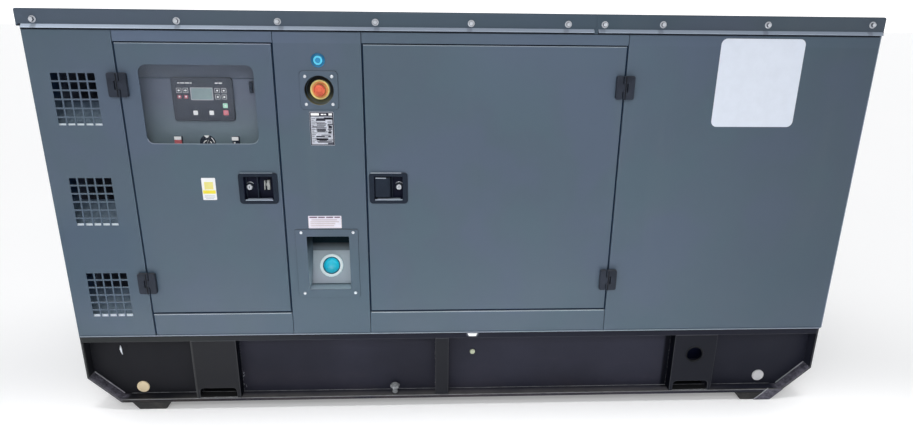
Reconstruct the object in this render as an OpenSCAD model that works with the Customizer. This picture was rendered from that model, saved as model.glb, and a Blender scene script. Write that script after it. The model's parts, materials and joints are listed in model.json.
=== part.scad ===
// Silenced diesel generator set: a sheet-steel canopy with two side doors,
// standing on a black base frame that holds the fuel tank.
// Millimetres. +Z up, the control side faces -Y, +X runs to the right of it.
// Origin: middle of the footprint, on the ground.

/* [Canopy] */
// Length over the end panels
body_l = 2500; // [2460:10:2600]
// Width over the side panels
body_w = 1000; // [940:10:1080]
// Height of the roof's top above the ground
roof_z = 1309; // [1305:1:1330]
// Height of the canopy's lower edge above the ground
sill_z = 283; // [282:1:288]
// Depth of the folded edges of every panel
pan_d = 30; // [28:1:32]
// Sheet thickness of the panels
sheet_t = 2.5; // [2:0.5:3]
// Height of the roof's turned-down edge
roof_lip_h = 42; // [38:1:46]
// Place along X where the two roof halves meet
roof_joint_x = 390.5; // [300:0.5:480]
// How far the roof reaches past the end panels
roof_over = 5; // [2:1:8]
// How far the roof's drip edge flares out
drip_out = 8; // [5:1:10]

/* [Doors] */
// Middle of the gap left of the control door
door1_x0 = -1001; // [-1006:1:-996]
// Middle of the gap right of the control door
door1_x1 = -553; // [-556:1:-550]
// Middle of the gap left of the engine door
door2_x0 = -294; // [-298:1:-290]
// Middle of the gap right of the engine door
door2_x1 = 489.5; // [486:0.5:494]
// Middle of the gap under the doors
door_z0 = 365.25; // [362:0.25:368]
// Middle of the gap over the doors
door_z1 = 1218.5; // [1215:0.5:1222]
// Gap between a door and the panels around it
door_gap = 5.5; // [5.5:0.5:7]
// Thickness of a door
door_d = 25; // [22:1:25]
// Width of the control window
window_w = 330; // [300:5:340]
// Height of the control window
window_h = 232; // [200:4:236]

/* [Hinges] */
// Height of the upper hinges' middle
hinge_hi_z = 1099; // [1080:1:1120]
// Height of the lower hinges' middle
hinge_lo_z = 474; // [460:1:490]
// Height of a hinge
hinge_h = 70; // [60:2:80]
// Width over both leaves of a hinge
hinge_w = 60; // [54:2:66]
// Distance of the pin's axis from the panels' face
pin_out = 8; // [8:0.5:9]
// Radius of a hinge's knuckle
knuckle_r = 8; // [7:0.5:8]
// Radius of a hinge's pin
pin_r = 3; // [2.5:0.5:3.5]

/* [Base frame] */
// Height of the base frame's top
base_top = 282; // [280:1:286]
// Height of the feet
foot_h = 30; // [26:1:34]
// Depth of the recess between the frame's flanges
recess = 40; // [36:1:46]
// Height of the top flange
flange_top_h = 21; // [16:1:24]
// Height of the bottom flange
flange_bot_h = 12; // [10:1:14]
// Length of the cut corner at each end
cut_x = 100; // [80:5:110]
// Height of the cut corner at each end
cut_z = 96; // [80:2:104]
// Distance from the middle to each fork slot
fork_x = 822; // [800:2:830]
// Width of a fork slot
fork_w = 124; // [110:2:128]
// Height of a fork slot's top
fork_top = 80; // [74:1:86]
// Radius of the cable entry hole
cable_r = 28; // [20:1:32]
// Height of the cable entry hole's middle
cable_z = 186; // [160:1:200]

/* [Vents] */
// Side of one square vent hole
cell = 21.2; // [18:0.2:22]
// Distance between the vent holes
cell_pitch = 26.1; // [25:0.1:28]
// Holes across one vent
cells_x = 5; // [3:1:6]
// Holes up one vent
cells_z = 6; // [4:1:7]
// Middle of the vents along X
vent_x = -1128.5; // [-1140:0.5:-1120]

/* [Hidden] */

hx = body_l / 2;
hy = body_w / 2;
g2 = door_gap / 2;
wall_top = roof_z - roof_lip_h - 4;
vent_z = [432, 744, 1056];
paint = [0.33, 0.38, 0.43];
black = [0.06, 0.065, 0.075];
pin_y = -hy - pin_out;
seam = 0.75;
latch_z = 787;
latch1_x = -625.5;
latch2_x = -226;
tray_w = 119;
tray_h = 99;
tray_iw = 88;
tray_ih = 75;
post_w = 150;
win_x = -777;
win_z = 1041;

// ---------- helpers ----------
// a box given by its two corners
module bx(a, b) translate(a) cube([b[0] - a[0], b[1] - a[1], b[2] - a[2]]);
// the same thing on both long sides
module both() { children(); mirror([0, 1, 0]) children(); }
// a rounded rectangle, centred
module rrect(w, h, r) {
  square([w - 2 * r, h], center = true);
  square([w, h - 2 * r], center = true);
  for (i = [-1, 1], j = [-1, 1]) translate([i * (w / 2 - r), j * (h / 2 - r)]) circle(r = r, $fn = 32);
}
// a flat shape drawn in X and Z, from y0 to y1
module slab_xz(y0, y1) translate([0, y1, 0]) rotate([90, 0, 0]) linear_extrude(y1 - y0) children();
// a flat shape drawn in Y and Z, from x0 to x1
module slab_yz(x0, x1) translate([x0, 0, 0]) rotate([90, 0, 90]) linear_extrude(x1 - x0) children();
// a cylinder along Y
module cyl_y(x, z, y0, y1, r, fn = 48) translate([x, y1, z]) rotate([90, 0, 0]) cylinder(h = y1 - y0, r = r, $fn = fn);
// a cylinder along X
module cyl_x(y, z, x0, x1, r, fn = 48) translate([x0, y, z]) rotate([0, 90, 0]) cylinder(h = x1 - x0, r = r, $fn = fn);
// a cylinder along Z
module cyl_z(x, y, z0, z1, r, fn = 48) translate([x, y, z0]) cylinder(h = z1 - z0, r = r, $fn = fn);
// a folded sheet panel on the control side: flat face at -hy, edges turned in
module pan(x0, x1, z0, z1, d = pan_d) difference() {
  bx([x0, -hy, z0], [x1, -hy + d, z1]);
  bx([x0 + sheet_t, -hy + sheet_t, z0 + sheet_t], [x1 - sheet_t, -hy + d + 1, z1 - sheet_t]);
}
// a folded sheet panel on the end at +X
module end_pan(y0, y1, z0, z1) difference() {
  bx([hx - pan_d, y0, z0], [hx, y1, z1]);
  bx([hx - pan_d - 1, y0 + sheet_t, z0 + sheet_t], [hx - sheet_t, y1 - sheet_t, z1 - sheet_t]);
}

// ---------- base frame ----------
// half-width of the frame's outline at height z, inside an end plate of thickness t
function cut_len() = sqrt(cut_x * cut_x + cut_z * cut_z);
function edge_x(z, t) =
  let (x0 = hx - t * cut_z / cut_len(), z0 = foot_h + cut_z + t * cut_x / cut_len())
  min(hx - t, x0 - (z0 - z) * cut_x / cut_z);
function knee_z(t) = foot_h + cut_z + t * cut_x / cut_len() - (t - t * cut_z / cut_len()) * cut_z / cut_x;

module web_outline() polygon([
  [-edge_x(foot_h, 6), foot_h], [edge_x(foot_h, 6), foot_h], [hx - 6, knee_z(6)],
  [hx - 6, base_top], [-(hx - 6), base_top], [-(hx - 6), knee_z(6)]]);

module base_webs() color(black) {
  difference() {
    slab_xz(-hy + recess, -hy + recess + 4) web_outline();
    for (s = [-1, 1]) bx([s * fork_x - fork_w / 2 - 2, -hy, foot_h + flange_bot_h], [s * fork_x + fork_w / 2 + 2, 0, fork_top + 4]);
    cyl_y(fork_x, cable_z, -hy, 0, cable_r);
  }
  mirror([0, 1, 0]) difference() {
    slab_xz(-hy + recess, -hy + recess + 4) web_outline();
    for (s = [-1, 1]) bx([s * fork_x - fork_w / 2 - 2, -hy, foot_h + flange_bot_h], [s * fork_x + fork_w / 2 + 2, 0, fork_top + 4]);
  }
}

module base_flanges() color(black) both() {
  bx([-hx + 6, -hy, base_top - flange_top_h], [hx - 6, -hy + recess, base_top]);
  slab_xz(-hy, -hy + recess) polygon([
    [-edge_x(foot_h, 6), foot_h], [edge_x(foot_h, 6), foot_h],
    [edge_x(foot_h + flange_bot_h, 6), foot_h + flange_bot_h], [-edge_x(foot_h + flange_bot_h, 6), foot_h + flange_bot_h]]);
}

module base_end_plates() color(black) for (s = [0, 1]) mirror([s, 0, 0])
  slab_xz(-hy, hy) polygon([
    [hx, base_top], [hx, foot_h + cut_z], [hx - cut_x, foot_h],
    [edge_x(foot_h, 6), foot_h], [hx - 6, knee_z(6)], [hx - 6, base_top]]);

// a folded channel post with the fork slot through its foot
module fork_post(hole) difference() {
  bx([fork_x - post_w / 2, -hy + 2, foot_h + flange_bot_h], [fork_x + post_w / 2, -hy + recess, base_top - flange_top_h]);
  bx([fork_x - post_w / 2 + 5, -hy + 7, foot_h], [fork_x + post_w / 2 - 5, 0, base_top]);
  slab_xz(-hy - 1, -hy + 10) {
    translate([fork_x, fork_top - 40]) rrect(fork_w, 80, 14);
  }
  if (hole) cyl_y(fork_x, cable_z, -hy - 1, -hy + 10, cable_r);
}

module base_posts() color(black) {
  mirror([1, 0, 0]) fork_post(false);
  mirror([0, 1, 0]) { fork_post(false); mirror([1, 0, 0]) fork_post(false); }
  both() bx([-80, -hy + 2, foot_h + flange_bot_h], [-35, -hy + recess, base_top - flange_top_h]);
}

module cable_post() color(black) fork_post(true);

module fork_pockets() color(black) for (s = [-1, 1]) translate([s * fork_x, 0, 0]) difference() {
  bx([-fork_w / 2 - 6, -hy + recess + 4, foot_h + flange_bot_h - 4], [fork_w / 2 + 6, hy - recess - 4, fork_top + 8]);
  bx([-fork_w / 2 - 2, -hy, foot_h + flange_bot_h], [fork_w / 2 + 2, hy, fork_top + 4]);
}

module fuel_tank() color(black) union() {
  bx([-700, -430, 60], [700, 430, 246]);
  cyl_z(-424, -380, 246, 252, 40);
}

module cross_members() color(black) for (x = [-1080, -530, -250, -35, 505, 900, 1120])
  bx([x - 30, -hy + recess + 4, 252], [x + 30, hy - recess - 4, base_top]);

module base_plugs() color([0.85, 0.80, 0.62]) {
  both() {
    cyl_y(-1088, 69, -hy + recess - 4, -hy + recess, 21);
    cyl_y(1083, 77, -hy + recess - 4, -hy + recess, 21);
  }
  cyl_y(49, 188, -hy + recess - 7, -hy + recess, 9, 32);
}

module drain_plug() color([0.6, 0.6, 0.6]) union() {
  cyl_z(-221, -hy + 20, foot_h + flange_bot_h, foot_h + flange_bot_h + 22, 8, 32);
  cyl_z(-221, -hy + 20, foot_h + flange_bot_h + 22, foot_h + flange_bot_h + 36, 17, 6);
}

// the right-hand feet carry the line of the cut corner down to the ground
module base_feet() color([0.04, 0.04, 0.04]) both() {
  slab_xz(-hy + 3, -hy + 90) polygon([[-990, foot_h], [-1004, 0], [-1096, 0], [-1120, foot_h]]);
  slab_xz(-hy, -hy + 90) polygon([[990, foot_h], [1012, 0], [hx - cut_x - foot_h * cut_x / cut_z, 0], [hx - cut_x, foot_h]]);
}

// ---------- canopy, fixed panels ----------
module vent_cuts(z) for (i = [0:cells_x - 1], j = [0:cells_z - 1])
  translate([vent_x + (i - (cells_x - 1) / 2) * cell_pitch - cell / 2, -hy - 1, z + (j - (cells_z - 1) / 2) * cell_pitch - cell / 2])
    cube([cell, 10, cell]);

module vent_wall() difference() {
  pan(-hx, door1_x0 - g2, sill_z, wall_top);
  for (z = vent_z) vent_cuts(z);
}
module front_vent_panel() color(paint) vent_wall();
module back_vent_panel() color(paint) mirror([0, 1, 0]) vent_wall();

module front_centre_panel() color(paint) difference() {
  pan(door1_x1 + g2, door2_x0 - g2, sill_z, wall_top);
  cyl_y(-424, 1086, -hy - 1, -hy + 10, 46);
  bx([-491.5, -hy - 1, 444], [-352, -hy + 10, 631.5]);
  cyl_y(-424, 1172, -hy - 1, -hy + 10, 16);
}
module back_centre_panel() color(paint) mirror([0, 1, 0]) pan(door1_x1 + g2, door2_x0 - g2, sill_z, wall_top);
module plain_side_panels() color(paint) both() pan(door2_x1 + g2, hx, sill_z, wall_top);

// closed box rails over and under the doors
module rail(x0, x1, z0, z1) bx([x0, -hy, z0], [x1, -hy + pan_d, z1]);
module headers() color(paint) both() {
  rail(door1_x0 - g2 + 2 * seam, door1_x1 + g2 - 2 * seam, door_z1 + g2, wall_top);
  rail(door2_x0 - g2 + 2 * seam, door2_x1 + g2 - 2 * seam, door_z1 + g2, wall_top);
}
module sills() color(paint) both() {
  rail(door1_x0 + g2, door1_x1 + g2 - 2 * seam, sill_z, door_z0 - g2);
  rail(door2_x0 - g2 + 2 * seam, door2_x1 + g2 - 2 * seam, sill_z, door_z0 - g2);
}

module back_doors() color(paint) mirror([0, 1, 0]) {
  difference() { bx([door1_x0 + g2, -hy, door_z0 + g2], [door1_x1 - g2, -hy + door_d, door_z1 - g2]); tray_cut(latch1_x, door_d + 1); }
  difference() { bx([door2_x0 + g2, -hy, door_z0 + g2], [door2_x1 - g2, -hy + door_d, door_z1 - g2]); tray_cut(latch2_x, door_d + 1); }
}

module left_end_panel() color(paint) mirror([1, 0, 0]) end_pan(-hy + pan_d, hy - pan_d, sill_z, wall_top);

// the outlet grille of the radiator: square holes like those of the vents
module right_end_panel() color(paint) difference() {
  end_pan(-hy + pan_d, hy - pan_d, sill_z, wall_top);
  for (i = [0:13], j = [0:15])
    translate([hx - 10, (i - 6.5) * 40 - 15, 780 + (j - 7.5) * 40 - 15]) cube([12, 30, 30]);
}

// rounded outside of the roof's edge, out along +X of the drawing
function lip_round() = concat([[-2, roof_z - 3], [-2, roof_z]], [for (a = [67.5:-22.5:0]) [-2 + 5 * cos(a), roof_z - 5 + 5 * sin(a)]]);
// section through the roof's turned-down edge
module lip_plain(h) polygon(concat(lip_round(), [[3, roof_z - h + 2], [2.5, roof_z - h], [0, roof_z - h], [0, roof_z - 3]]));

// a roof half from the joint at x0 to the end at +X
module roof_half(x0) union() {
  ex = hx + roof_over;
  bx([x0, -hy + 2, roof_z - 3], [ex - 2, hy - 2, roof_z]);
  for (s = [0, 1]) mirror([0, s, 0]) {
    intersection() {
      translate([x0, -hy, 0]) rotate([90, 0, 90]) mirror([1, 0, 0]) linear_extrude(ex + 20 - x0) lip_plain(roof_lip_h);
      linear_extrude(roof_z + 1) polygon([[x0 - 1, -hy + 3], [ex - 3, -hy + 3], [ex + 30, -hy - 30], [x0 - 1, -hy - 30]]);
    }
  }
  intersection() {
    translate([ex, hy + 20, 0]) rotate([90, 0, 0]) linear_extrude(body_w + 40) lip_plain(roof_lip_h + 6);
    linear_extrude(roof_z + 1) polygon([[ex - 3, -hy + 3], [ex + 30, -hy - 30], [ex + 30, hy + 30], [ex - 3, hy - 3]]);
  }
}
module roof_left() color(paint) mirror([1, 0, 0]) roof_half(-roof_joint_x + 1.5);
module roof_right() color(paint) roof_half(roof_joint_x + 1.5);
// flared strips under the roof's long edges, broken at the joint
module drip_edges() color([0.55, 0.6, 0.68]) both()
  for (r = [[-hx + 6, roof_joint_x - 7], [roof_joint_x + 6, hx + 4]])
    translate([r[0], -hy, 0]) rotate([90, 0, 90]) mirror([1, 0, 0]) linear_extrude(r[1] - r[0])
      polygon([[0, roof_z - roof_lip_h], [2.5, roof_z - roof_lip_h], [3 + drip_out, roof_z - roof_lip_h - 8],
        [2 + drip_out, roof_z - roof_lip_h - 10.5], [0, roof_z - roof_lip_h - 2.5]]);

module wall_lining() color([0.12, 0.12, 0.12]) {
  // behind the plain side panels
  both() bx([door2_x1 + g2 + sheet_t, -hy + sheet_t, sill_z + sheet_t], [hx - sheet_t, -hy + pan_d, wall_top - sheet_t]);
  // behind the left end panel
  bx([-hx + sheet_t, -hy + pan_d + sheet_t, sill_z + sheet_t], [-hx + pan_d, hy - pan_d - sheet_t, wall_top - sheet_t]);
  // under the roof
  bx([-hx + 34, -hy + 34, roof_z - 30], [roof_joint_x - 4, hy - 34, roof_z - 4]);
  bx([roof_joint_x + 6, -hy + 34, roof_z - 30], [hx - 34, hy - 34, roof_z - 4]);
}

// channel bars behind the doors' edges, four to a door
module frame_ring(x0, x1) {
  y0 = -hy + pan_d;
  y1 = y0 + 30;
  za = door_z0 - 18;
  zb = door_z1 + 18;
  bx([x0 - 18, y0, za], [x0 + 23, y1, zb]);
  bx([x1 - 23, y0, za], [x1 + 18, y1, zb]);
  bx([x0 + 23.5, y0, za], [x1 - 23.5, y1, door_z0 + 23]);
  bx([x0 + 23.5, y0, door_z1 - 23], [x1 - 23.5, y1, zb]);
}
module door_frames() color(paint) both() {
  frame_ring(door1_x0, door1_x1);
  frame_ring(door2_x0, door2_x1);
}

module vent_baffles() color([0.42, 0.45, 0.48]) both() for (z = vent_z)
  translate([0, -hy + pan_d + 1, z - 84]) rotate([-42, 0, 0]) bx([-hx + pan_d, 0, 0], [door1_x0 - 18, 2, 90]);

// ---------- hinges ----------
// one hinge leaf on the fixed side, with the outer knuckles and the pin; side = -1 left, 1 right
module leaf_fixed(x, z, side) union() {
  bx([min(x + side * 9.5, x + side * hinge_w / 2), -hy - 9, z - hinge_h / 2], [max(x + side * 9.5, x + side * hinge_w / 2), -hy, z + hinge_h / 2]);
  for (k = [-1, 1]) {
    cyl_z(x, pin_y, z + (k < 0 ? -hinge_h / 2 : 12.5), z + (k < 0 ? -12.5 : hinge_h / 2), knuckle_r);
    bx([min(x, x + side * 10), pin_y - knuckle_r + 2, z + (k < 0 ? -hinge_h / 2 : 12.5)], [max(x, x + side * 10), -hy - 1, z + (k < 0 ? -12.5 : hinge_h / 2)]);
  }
  cyl_z(x, pin_y, z - 13, z + 13, pin_r);
}
// the leaf on the door, with the middle knuckle
module leaf_door(x, z, side) difference() {
  union() {
    bx([min(x + side * 9.5, x + side * hinge_w / 2), -hy - 9, z - hinge_h / 2], [max(x + side * 9.5, x + side * hinge_w / 2), -hy, z + hinge_h / 2]);
    cyl_z(x, pin_y, z - 12, z + 12, knuckle_r);
    bx([min(x, x + side * 10), pin_y - knuckle_r + 2, z - 12], [max(x, x + side * 10), pin_y + 1, z + 12]);
  }
  cyl_z(x, pin_y, z - 13, z + 13, pin_r + 0.05);
}
module frame_hinges() color(black) for (z = [hinge_hi_z, hinge_lo_z]) {
  leaf_fixed(door1_x0, z, -1);
  leaf_fixed(door2_x1, z, 1);
}
module control_door_hinges() color(black) for (z = [hinge_hi_z, hinge_lo_z]) leaf_door(door1_x0, z, 1);
module engine_door_hinges() color(black) for (z = [hinge_hi_z, hinge_lo_z]) leaf_door(door2_x1, z, -1);

// ---------- latches ----------
module tray_cut(x, d) bx([x - tray_iw / 2 - 3, -hy - 1, latch_z - tray_ih / 2 - 3], [x + tray_iw / 2 + 3, -hy + d, latch_z + tray_ih / 2 + 3]);
// a moulded dish: rim on the door's face, well behind it
module tray(x) difference() {
  union() {
    slab_xz(-hy - 4, -hy) translate([x, latch_z]) rrect(tray_w, tray_h, 11);
    bx([x - tray_iw / 2 - 2.5, -hy, latch_z - tray_ih / 2 - 2.5], [x + tray_iw / 2 + 2.5, -hy + 22, latch_z + tray_ih / 2 + 2.5]);
  }
  bx([x - tray_iw / 2, -hy - 5, latch_z - tray_ih / 2], [x + tray_iw / 2, -hy + 19.5, latch_z + tray_ih / 2]);
}
module control_door_latch() color(black) union() {
  tray(latch1_x);
  // rib between the key well and the handle's place
  bx([latch1_x - 8, -hy + 2, latch_z - tray_ih / 2], [latch1_x + 2, -hy + 20, latch_z + tray_ih / 2]);
  cyl_y(-655, 789, -hy + 4, -hy + 20, 8);
}
module engine_door_latch() color(black) union() {
  tray(latch2_x);
  bx([latch2_x + 8, -hy + 6, latch_z - tray_ih / 2], [latch2_x + 13, -hy + 20, latch_z + tray_ih / 2]);
  cyl_y(-194, 789, -hy + 4, -hy + 20, 8);
}
// the pull flap: pivots on a pin at its right edge
module latch_paddle() color(black) union() {
  bx([-267.5, -hy - 1, 757], [-224, -hy + 3, 820]);
  cyl_z(-224, -hy + 3.5, 757, 820, 3.5, 32);
}

module back_door_fittings() color(black) mirror([0, 1, 0]) {
  for (z = [hinge_hi_z, hinge_lo_z], x = [door1_x0, door2_x1]) union() {
    bx([x - hinge_w / 2, -hy - 9, z - hinge_h / 2], [x + hinge_w / 2, -hy, z + hinge_h / 2]);
    cyl_z(x, pin_y, z - hinge_h / 2, z + hinge_h / 2, knuckle_r);
  }
  for (x = [latch1_x, latch2_x]) union() {
    tray(x);
    bx([x - 35, -hy + 1, latch_z - 31], [x + 14, -hy + 20, latch_z + 31]);
    cyl_y(x + 29, latch_z + 2, -hy + 4, -hy + 20, 8);
  }
}

// ---------- doors ----------
module control_door_panel() color(paint) difference() {
  pan(door1_x0 + g2, door1_x1 - g2, door_z0 + g2, door_z1 - g2, door_d);
  slab_xz(-hy - 1, -hy + door_d + 1) translate([win_x, win_z]) rrect(window_w, window_h, 24);
  tray_cut(latch1_x, door_d + 1);
}
module control_door_lining() color([0.12, 0.12, 0.12]) difference() {
  bx([door1_x0 + g2 + sheet_t, -hy + sheet_t, door_z0 + g2 + sheet_t], [door1_x1 - g2 - sheet_t, -hy + door_d, door_z1 - g2 - sheet_t]);
  slab_xz(-hy - 1, -hy + door_d + 1) translate([win_x, win_z]) rrect(window_w + 24, window_h + 24, 30);
  tray_cut(latch1_x, door_d + 1);
}
module control_door_window() color([0.7, 0.75, 0.78, 0.3])
  slab_xz(-hy + sheet_t, -hy + sheet_t + 4) translate([win_x, win_z]) rrect(window_w + 20, window_h + 20, 28);
module engine_door_panel() color(paint) difference() {
  pan(door2_x0 + g2, door2_x1 - g2, door_z0 + g2, door_z1 - g2, door_d);
  tray_cut(latch2_x, door_d + 1);
}
module engine_door_lining() color([0.12, 0.12, 0.12]) difference() {
  bx([door2_x0 + g2 + sheet_t, -hy + sheet_t, door_z0 + g2 + sheet_t], [door2_x1 - g2 - sheet_t, -hy + door_d, door_z1 - g2 - sheet_t]);
  tray_cut(latch2_x, door_d + 1);
}

// ---------- centre panel fittings ----------
module estop_cup() color(paint) difference() {
  union() {
    slab_xz(-hy - 2.5, -hy) translate([-424, 1086]) rrect(112, 112, 10);
    cyl_y(-424, 1086, -hy, -hy + 33, 46, 64);
  }
  cyl_y(-424, 1086, -hy - 3, -hy + 30, 43, 64);
  cyl_y(-424, 1086, -hy + 29, -hy + 34, 12);
}
module estop_collar() color([0.9, 0.75, 0.2]) difference() {
  cyl_y(-424, 1086, -hy + 24, -hy + 30, 30, 64);
  cyl_y(-424, 1086, -hy + 23, -hy + 31, 9);
}
module estop_button() color([0.8, 0.15, 0.1]) union() {
  cyl_y(-424, 1086, -hy + 2, -hy + 14, 17.5, 64);
  cyl_y(-424, 1086, -hy + 14, -hy + 28, 8);
}

// opening of the filler recess
fb = [-488.5, -355, 447, 628.5];
module filler_box() color([0.45, 0.48, 0.5]) union() {
  difference() {
    bx([-524, -hy - 2.5, 418], [-326, -hy, 652]);
    bx([fb[0], -hy - 4, fb[2]], [fb[1], -hy + 1, fb[3]]);
  }
  // side cheeks
  for (x = [fb[0] - 2.5, fb[1]]) bx([x, -hy, fb[2] - 2.5], [x + 2.5, -hy + 99, fb[3] + 2.5]);
  // ceiling, floor and back
  bx([fb[0], -hy, fb[3]], [fb[1], -hy + 99, fb[3] + 2.5]);
  bx([fb[0], -hy, fb[2] - 2.5], [fb[1], -hy + 51, fb[2]]);
  bx([fb[0], -hy + 96, 545], [fb[1], -hy + 98.5, fb[3]]);
  // the sloping plate that carries the filler neck
  difference() {
    translate([0, -hy + 50, fb[2] - 1]) rotate([-25.2, 0, 0]) bx([fb[0], 0, 0], [fb[1], 2.5, 110]);
    translate([-426, -hy + 74.5, 499.4]) rotate([64.8, 0, 0]) cylinder(h = 30, r = 31, center = true, $fn = 64);
  }
}
// ring and dished cap in the sloping plate
module filler_cap() color([0.15, 0.65, 0.8]) translate([-426, -hy + 74.5, 499.4]) rotate([64.8, 0, 0])
  rotate_extrude($fn = 64) polygon([[0, -22], [27, -22], [31, -14], [31, 0.4], [38.5, 0.4], [38.5, 4], [37, 6], [29, 6], [27, 1], [25, -8], [16, -14], [0, -15]]);

module top_plug() color([0.2, 0.55, 0.75]) translate([-424, -hy, 1172]) rotate([90, 0, 0])
  rotate_extrude($fn = 48) polygon([[0, -8], [14, -8], [15.8, -6], [15.8, 0], [19, 0], [19, 2], [17.5, 4], [13, 4], [11, 1], [0, -1]]);

module rating_plate() color([0.75, 0.76, 0.78]) slab_xz(-hy - 1, -hy) translate([-422.5, 972]) rrect(67, 101, 2);
module notice_plate() color([0.92, 0.9, 0.9]) slab_xz(-hy - 0.8, -hy) translate([-428.3, 676.5]) rrect(104, 41, 2);
module badge_plate() color([0.95, 0.95, 0.95]) slab_xz(-hy - 1, -hy) translate([898.5, 1113]) rrect(257, 263, 18);

// ---------- control box ----------
module control_box() color([0.40, 0.44, 0.48]) union() {
  bx([-1012, -hy + 60, 880], [-542, -hy + 62.5, 1208]);
  bx([-952, -hy + 62.5, 900], [-602, -hy + 230, 1188]);
}
module controller() color([0.16, 0.16, 0.18]) slab_xz(-hy + 50, -hy + 60) translate([-782, 1051]) rrect(182, 131, 9);
module panel_switches() color(black) {
  bx([-889, -hy + 48, 905], [-865, -hy + 60, 938]);
  cyl_y(-784, 917, -hy + 48, -hy + 60, 24);
  bx([-711, -hy + 48, 905], [-689, -hy + 60, 938]);
}

// ---------- inside the canopy ----------
module engine_block() color([0.2, 0.32, 0.3]) union() {
  bx([-90, -170, 470], [560, 170, 800]);
  bx([-70, -115, 800], [540, 115, 900]);
  bx([-40, -130, 350], [500, 130, 470]);
  cyl_x(0, 560, -130, -90, 225);
  for (x = [-60, 480]) bx([x, -260, 400], [x + 50, 260, 470]);
  for (x = [-60, 480], s = [0, 1]) mirror([0, s, 0]) bx([x, 190, base_top], [x + 50, 260, 400]);
}
module alternator() color([0.25, 0.27, 0.3]) union() {
  cyl_x(0, 560, -620, -130, 215);
  cyl_x(0, 560, -700, -620, 150);
  bx([-520, -150, 740], [-260, 150, 860]);
  for (x = [-560, -280], s = [0, 1]) mirror([0, s, 0]) bx([x, 130, base_top], [x + 60, 200, 480]);
}
module radiator() color([0.12, 0.13, 0.14]) union() {
  bx([860, -390, 330], [940, 390, 1150]);
  bx([850, -420, base_top], [950, 420, 330]);
  bx([850, -300, 1150], [950, 300, 1200]);
}
module cooling_fan() color([0.85, 0.85, 0.85]) union() {
  cyl_x(0, 700, 560, 800, 30);
  cyl_x(0, 700, 740, 790, 80);
  for (a = [0:45:315]) translate([765, 0, 700]) rotate([a, 0, 0]) rotate([0, 0, 28]) bx([-4, -45, 60], [4, 45, 300]);
}
module silencer() color([0.35, 0.35, 0.36]) union() {
  cyl_x(260, 1090, -60, 720, 110);
  cyl_z(100, 260, 880, 990, 34);
  bx([60, 115, 846], [140, 294, 896]);
  for (x = [20, 600]) bx([x, 372, 1060], [x + 40, hy - pan_d - 31, 1110]);
}
module air_cleaner() color(black) union() {
  cyl_x(-220, 1050, -200, 180, 95);
  cyl_z(-60, -220, 930, 960, 60);
  bx([-140, -230, 900], [20, -116, 932]);
}

base_webs();
base_flanges();
base_end_plates();
base_posts();
cable_post();
fork_pockets();
fuel_tank();
cross_members();
base_plugs();
drain_plug();
base_feet();
front_vent_panel();
back_vent_panel();
front_centre_panel();
back_centre_panel();
plain_side_panels();
headers();
sills();
back_doors();
left_end_panel();
right_end_panel();
roof_left();
roof_right();
drip_edges();
wall_lining();
door_frames();
vent_baffles();
frame_hinges();
back_door_fittings();
estop_cup();
estop_collar();
estop_button();
filler_box();
filler_cap();
top_plug();
rating_plate();
notice_plate();
badge_plate();
control_box();
controller();
panel_switches();
control_door_panel();
control_door_lining();
control_door_window();
control_door_hinges();
control_door_latch();
engine_door_panel();
engine_door_lining();
engine_door_hinges();
engine_door_latch();
latch_paddle();
engine_block();
alternator();
radiator();
cooling_fan();
silencer();
air_cleaner();
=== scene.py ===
import bpy, bmesh, json, math, random
from mathutils import Vector, Matrix

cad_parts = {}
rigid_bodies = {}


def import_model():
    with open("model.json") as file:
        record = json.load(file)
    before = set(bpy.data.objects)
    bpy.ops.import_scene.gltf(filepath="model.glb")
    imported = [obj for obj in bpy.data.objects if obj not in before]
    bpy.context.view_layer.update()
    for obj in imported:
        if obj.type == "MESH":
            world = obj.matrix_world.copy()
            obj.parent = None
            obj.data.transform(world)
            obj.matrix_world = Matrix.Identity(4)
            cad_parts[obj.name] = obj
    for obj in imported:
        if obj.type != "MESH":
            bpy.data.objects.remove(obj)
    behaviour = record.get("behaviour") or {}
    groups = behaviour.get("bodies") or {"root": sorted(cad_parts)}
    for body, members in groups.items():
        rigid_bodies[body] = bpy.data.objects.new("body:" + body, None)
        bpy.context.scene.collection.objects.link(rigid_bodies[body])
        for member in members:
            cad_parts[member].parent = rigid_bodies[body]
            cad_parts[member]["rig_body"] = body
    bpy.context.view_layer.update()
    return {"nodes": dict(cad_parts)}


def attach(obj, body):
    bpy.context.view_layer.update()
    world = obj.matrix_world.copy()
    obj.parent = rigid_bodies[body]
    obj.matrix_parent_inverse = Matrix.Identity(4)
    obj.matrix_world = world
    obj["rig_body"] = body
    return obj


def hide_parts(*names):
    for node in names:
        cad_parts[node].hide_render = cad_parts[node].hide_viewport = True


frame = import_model()
scene = bpy.context.scene
NODES = frame["nodes"]
SET, CDOOR, EDOOR, PADDLE, STOP = "set_body", "control_door", "engine_door", "paddle", "stop_button"
rnd = random.Random(7)


# ------------------------------------------------------------------ camera
def make_camera():
    th, ps, ro = math.radians(18.0091), math.radians(2.7922), math.radians(0.6391)
    F = Vector((math.sin(ps) * math.cos(th), math.cos(ps) * math.cos(th), -math.sin(th)))
    R0 = Vector((math.cos(ps), -math.sin(ps), 0.0))
    U0 = R0.cross(F)
    R = R0 * math.cos(ro) + U0 * math.sin(ro)
    U = -R0 * math.sin(ro) + U0 * math.cos(ro)
    cam = bpy.data.cameras.new("camera")
    cam.sensor_width = 36.0
    cam.lens = 25.232
    cam.clip_start, cam.clip_end = 0.05, 400.0
    o = bpy.data.objects.new("camera", cam)
    scene.collection.objects.link(o)
    m = Matrix.Identity(4)
    for i in range(3):
        m[i][0], m[i][1], m[i][2] = R[i], U[i], -F[i]
    m[0][3], m[1][3], m[2][3] = -0.1076, -2.4347, 1.308
    o.matrix_world = m
    scene.camera = o


make_camera()


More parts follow.
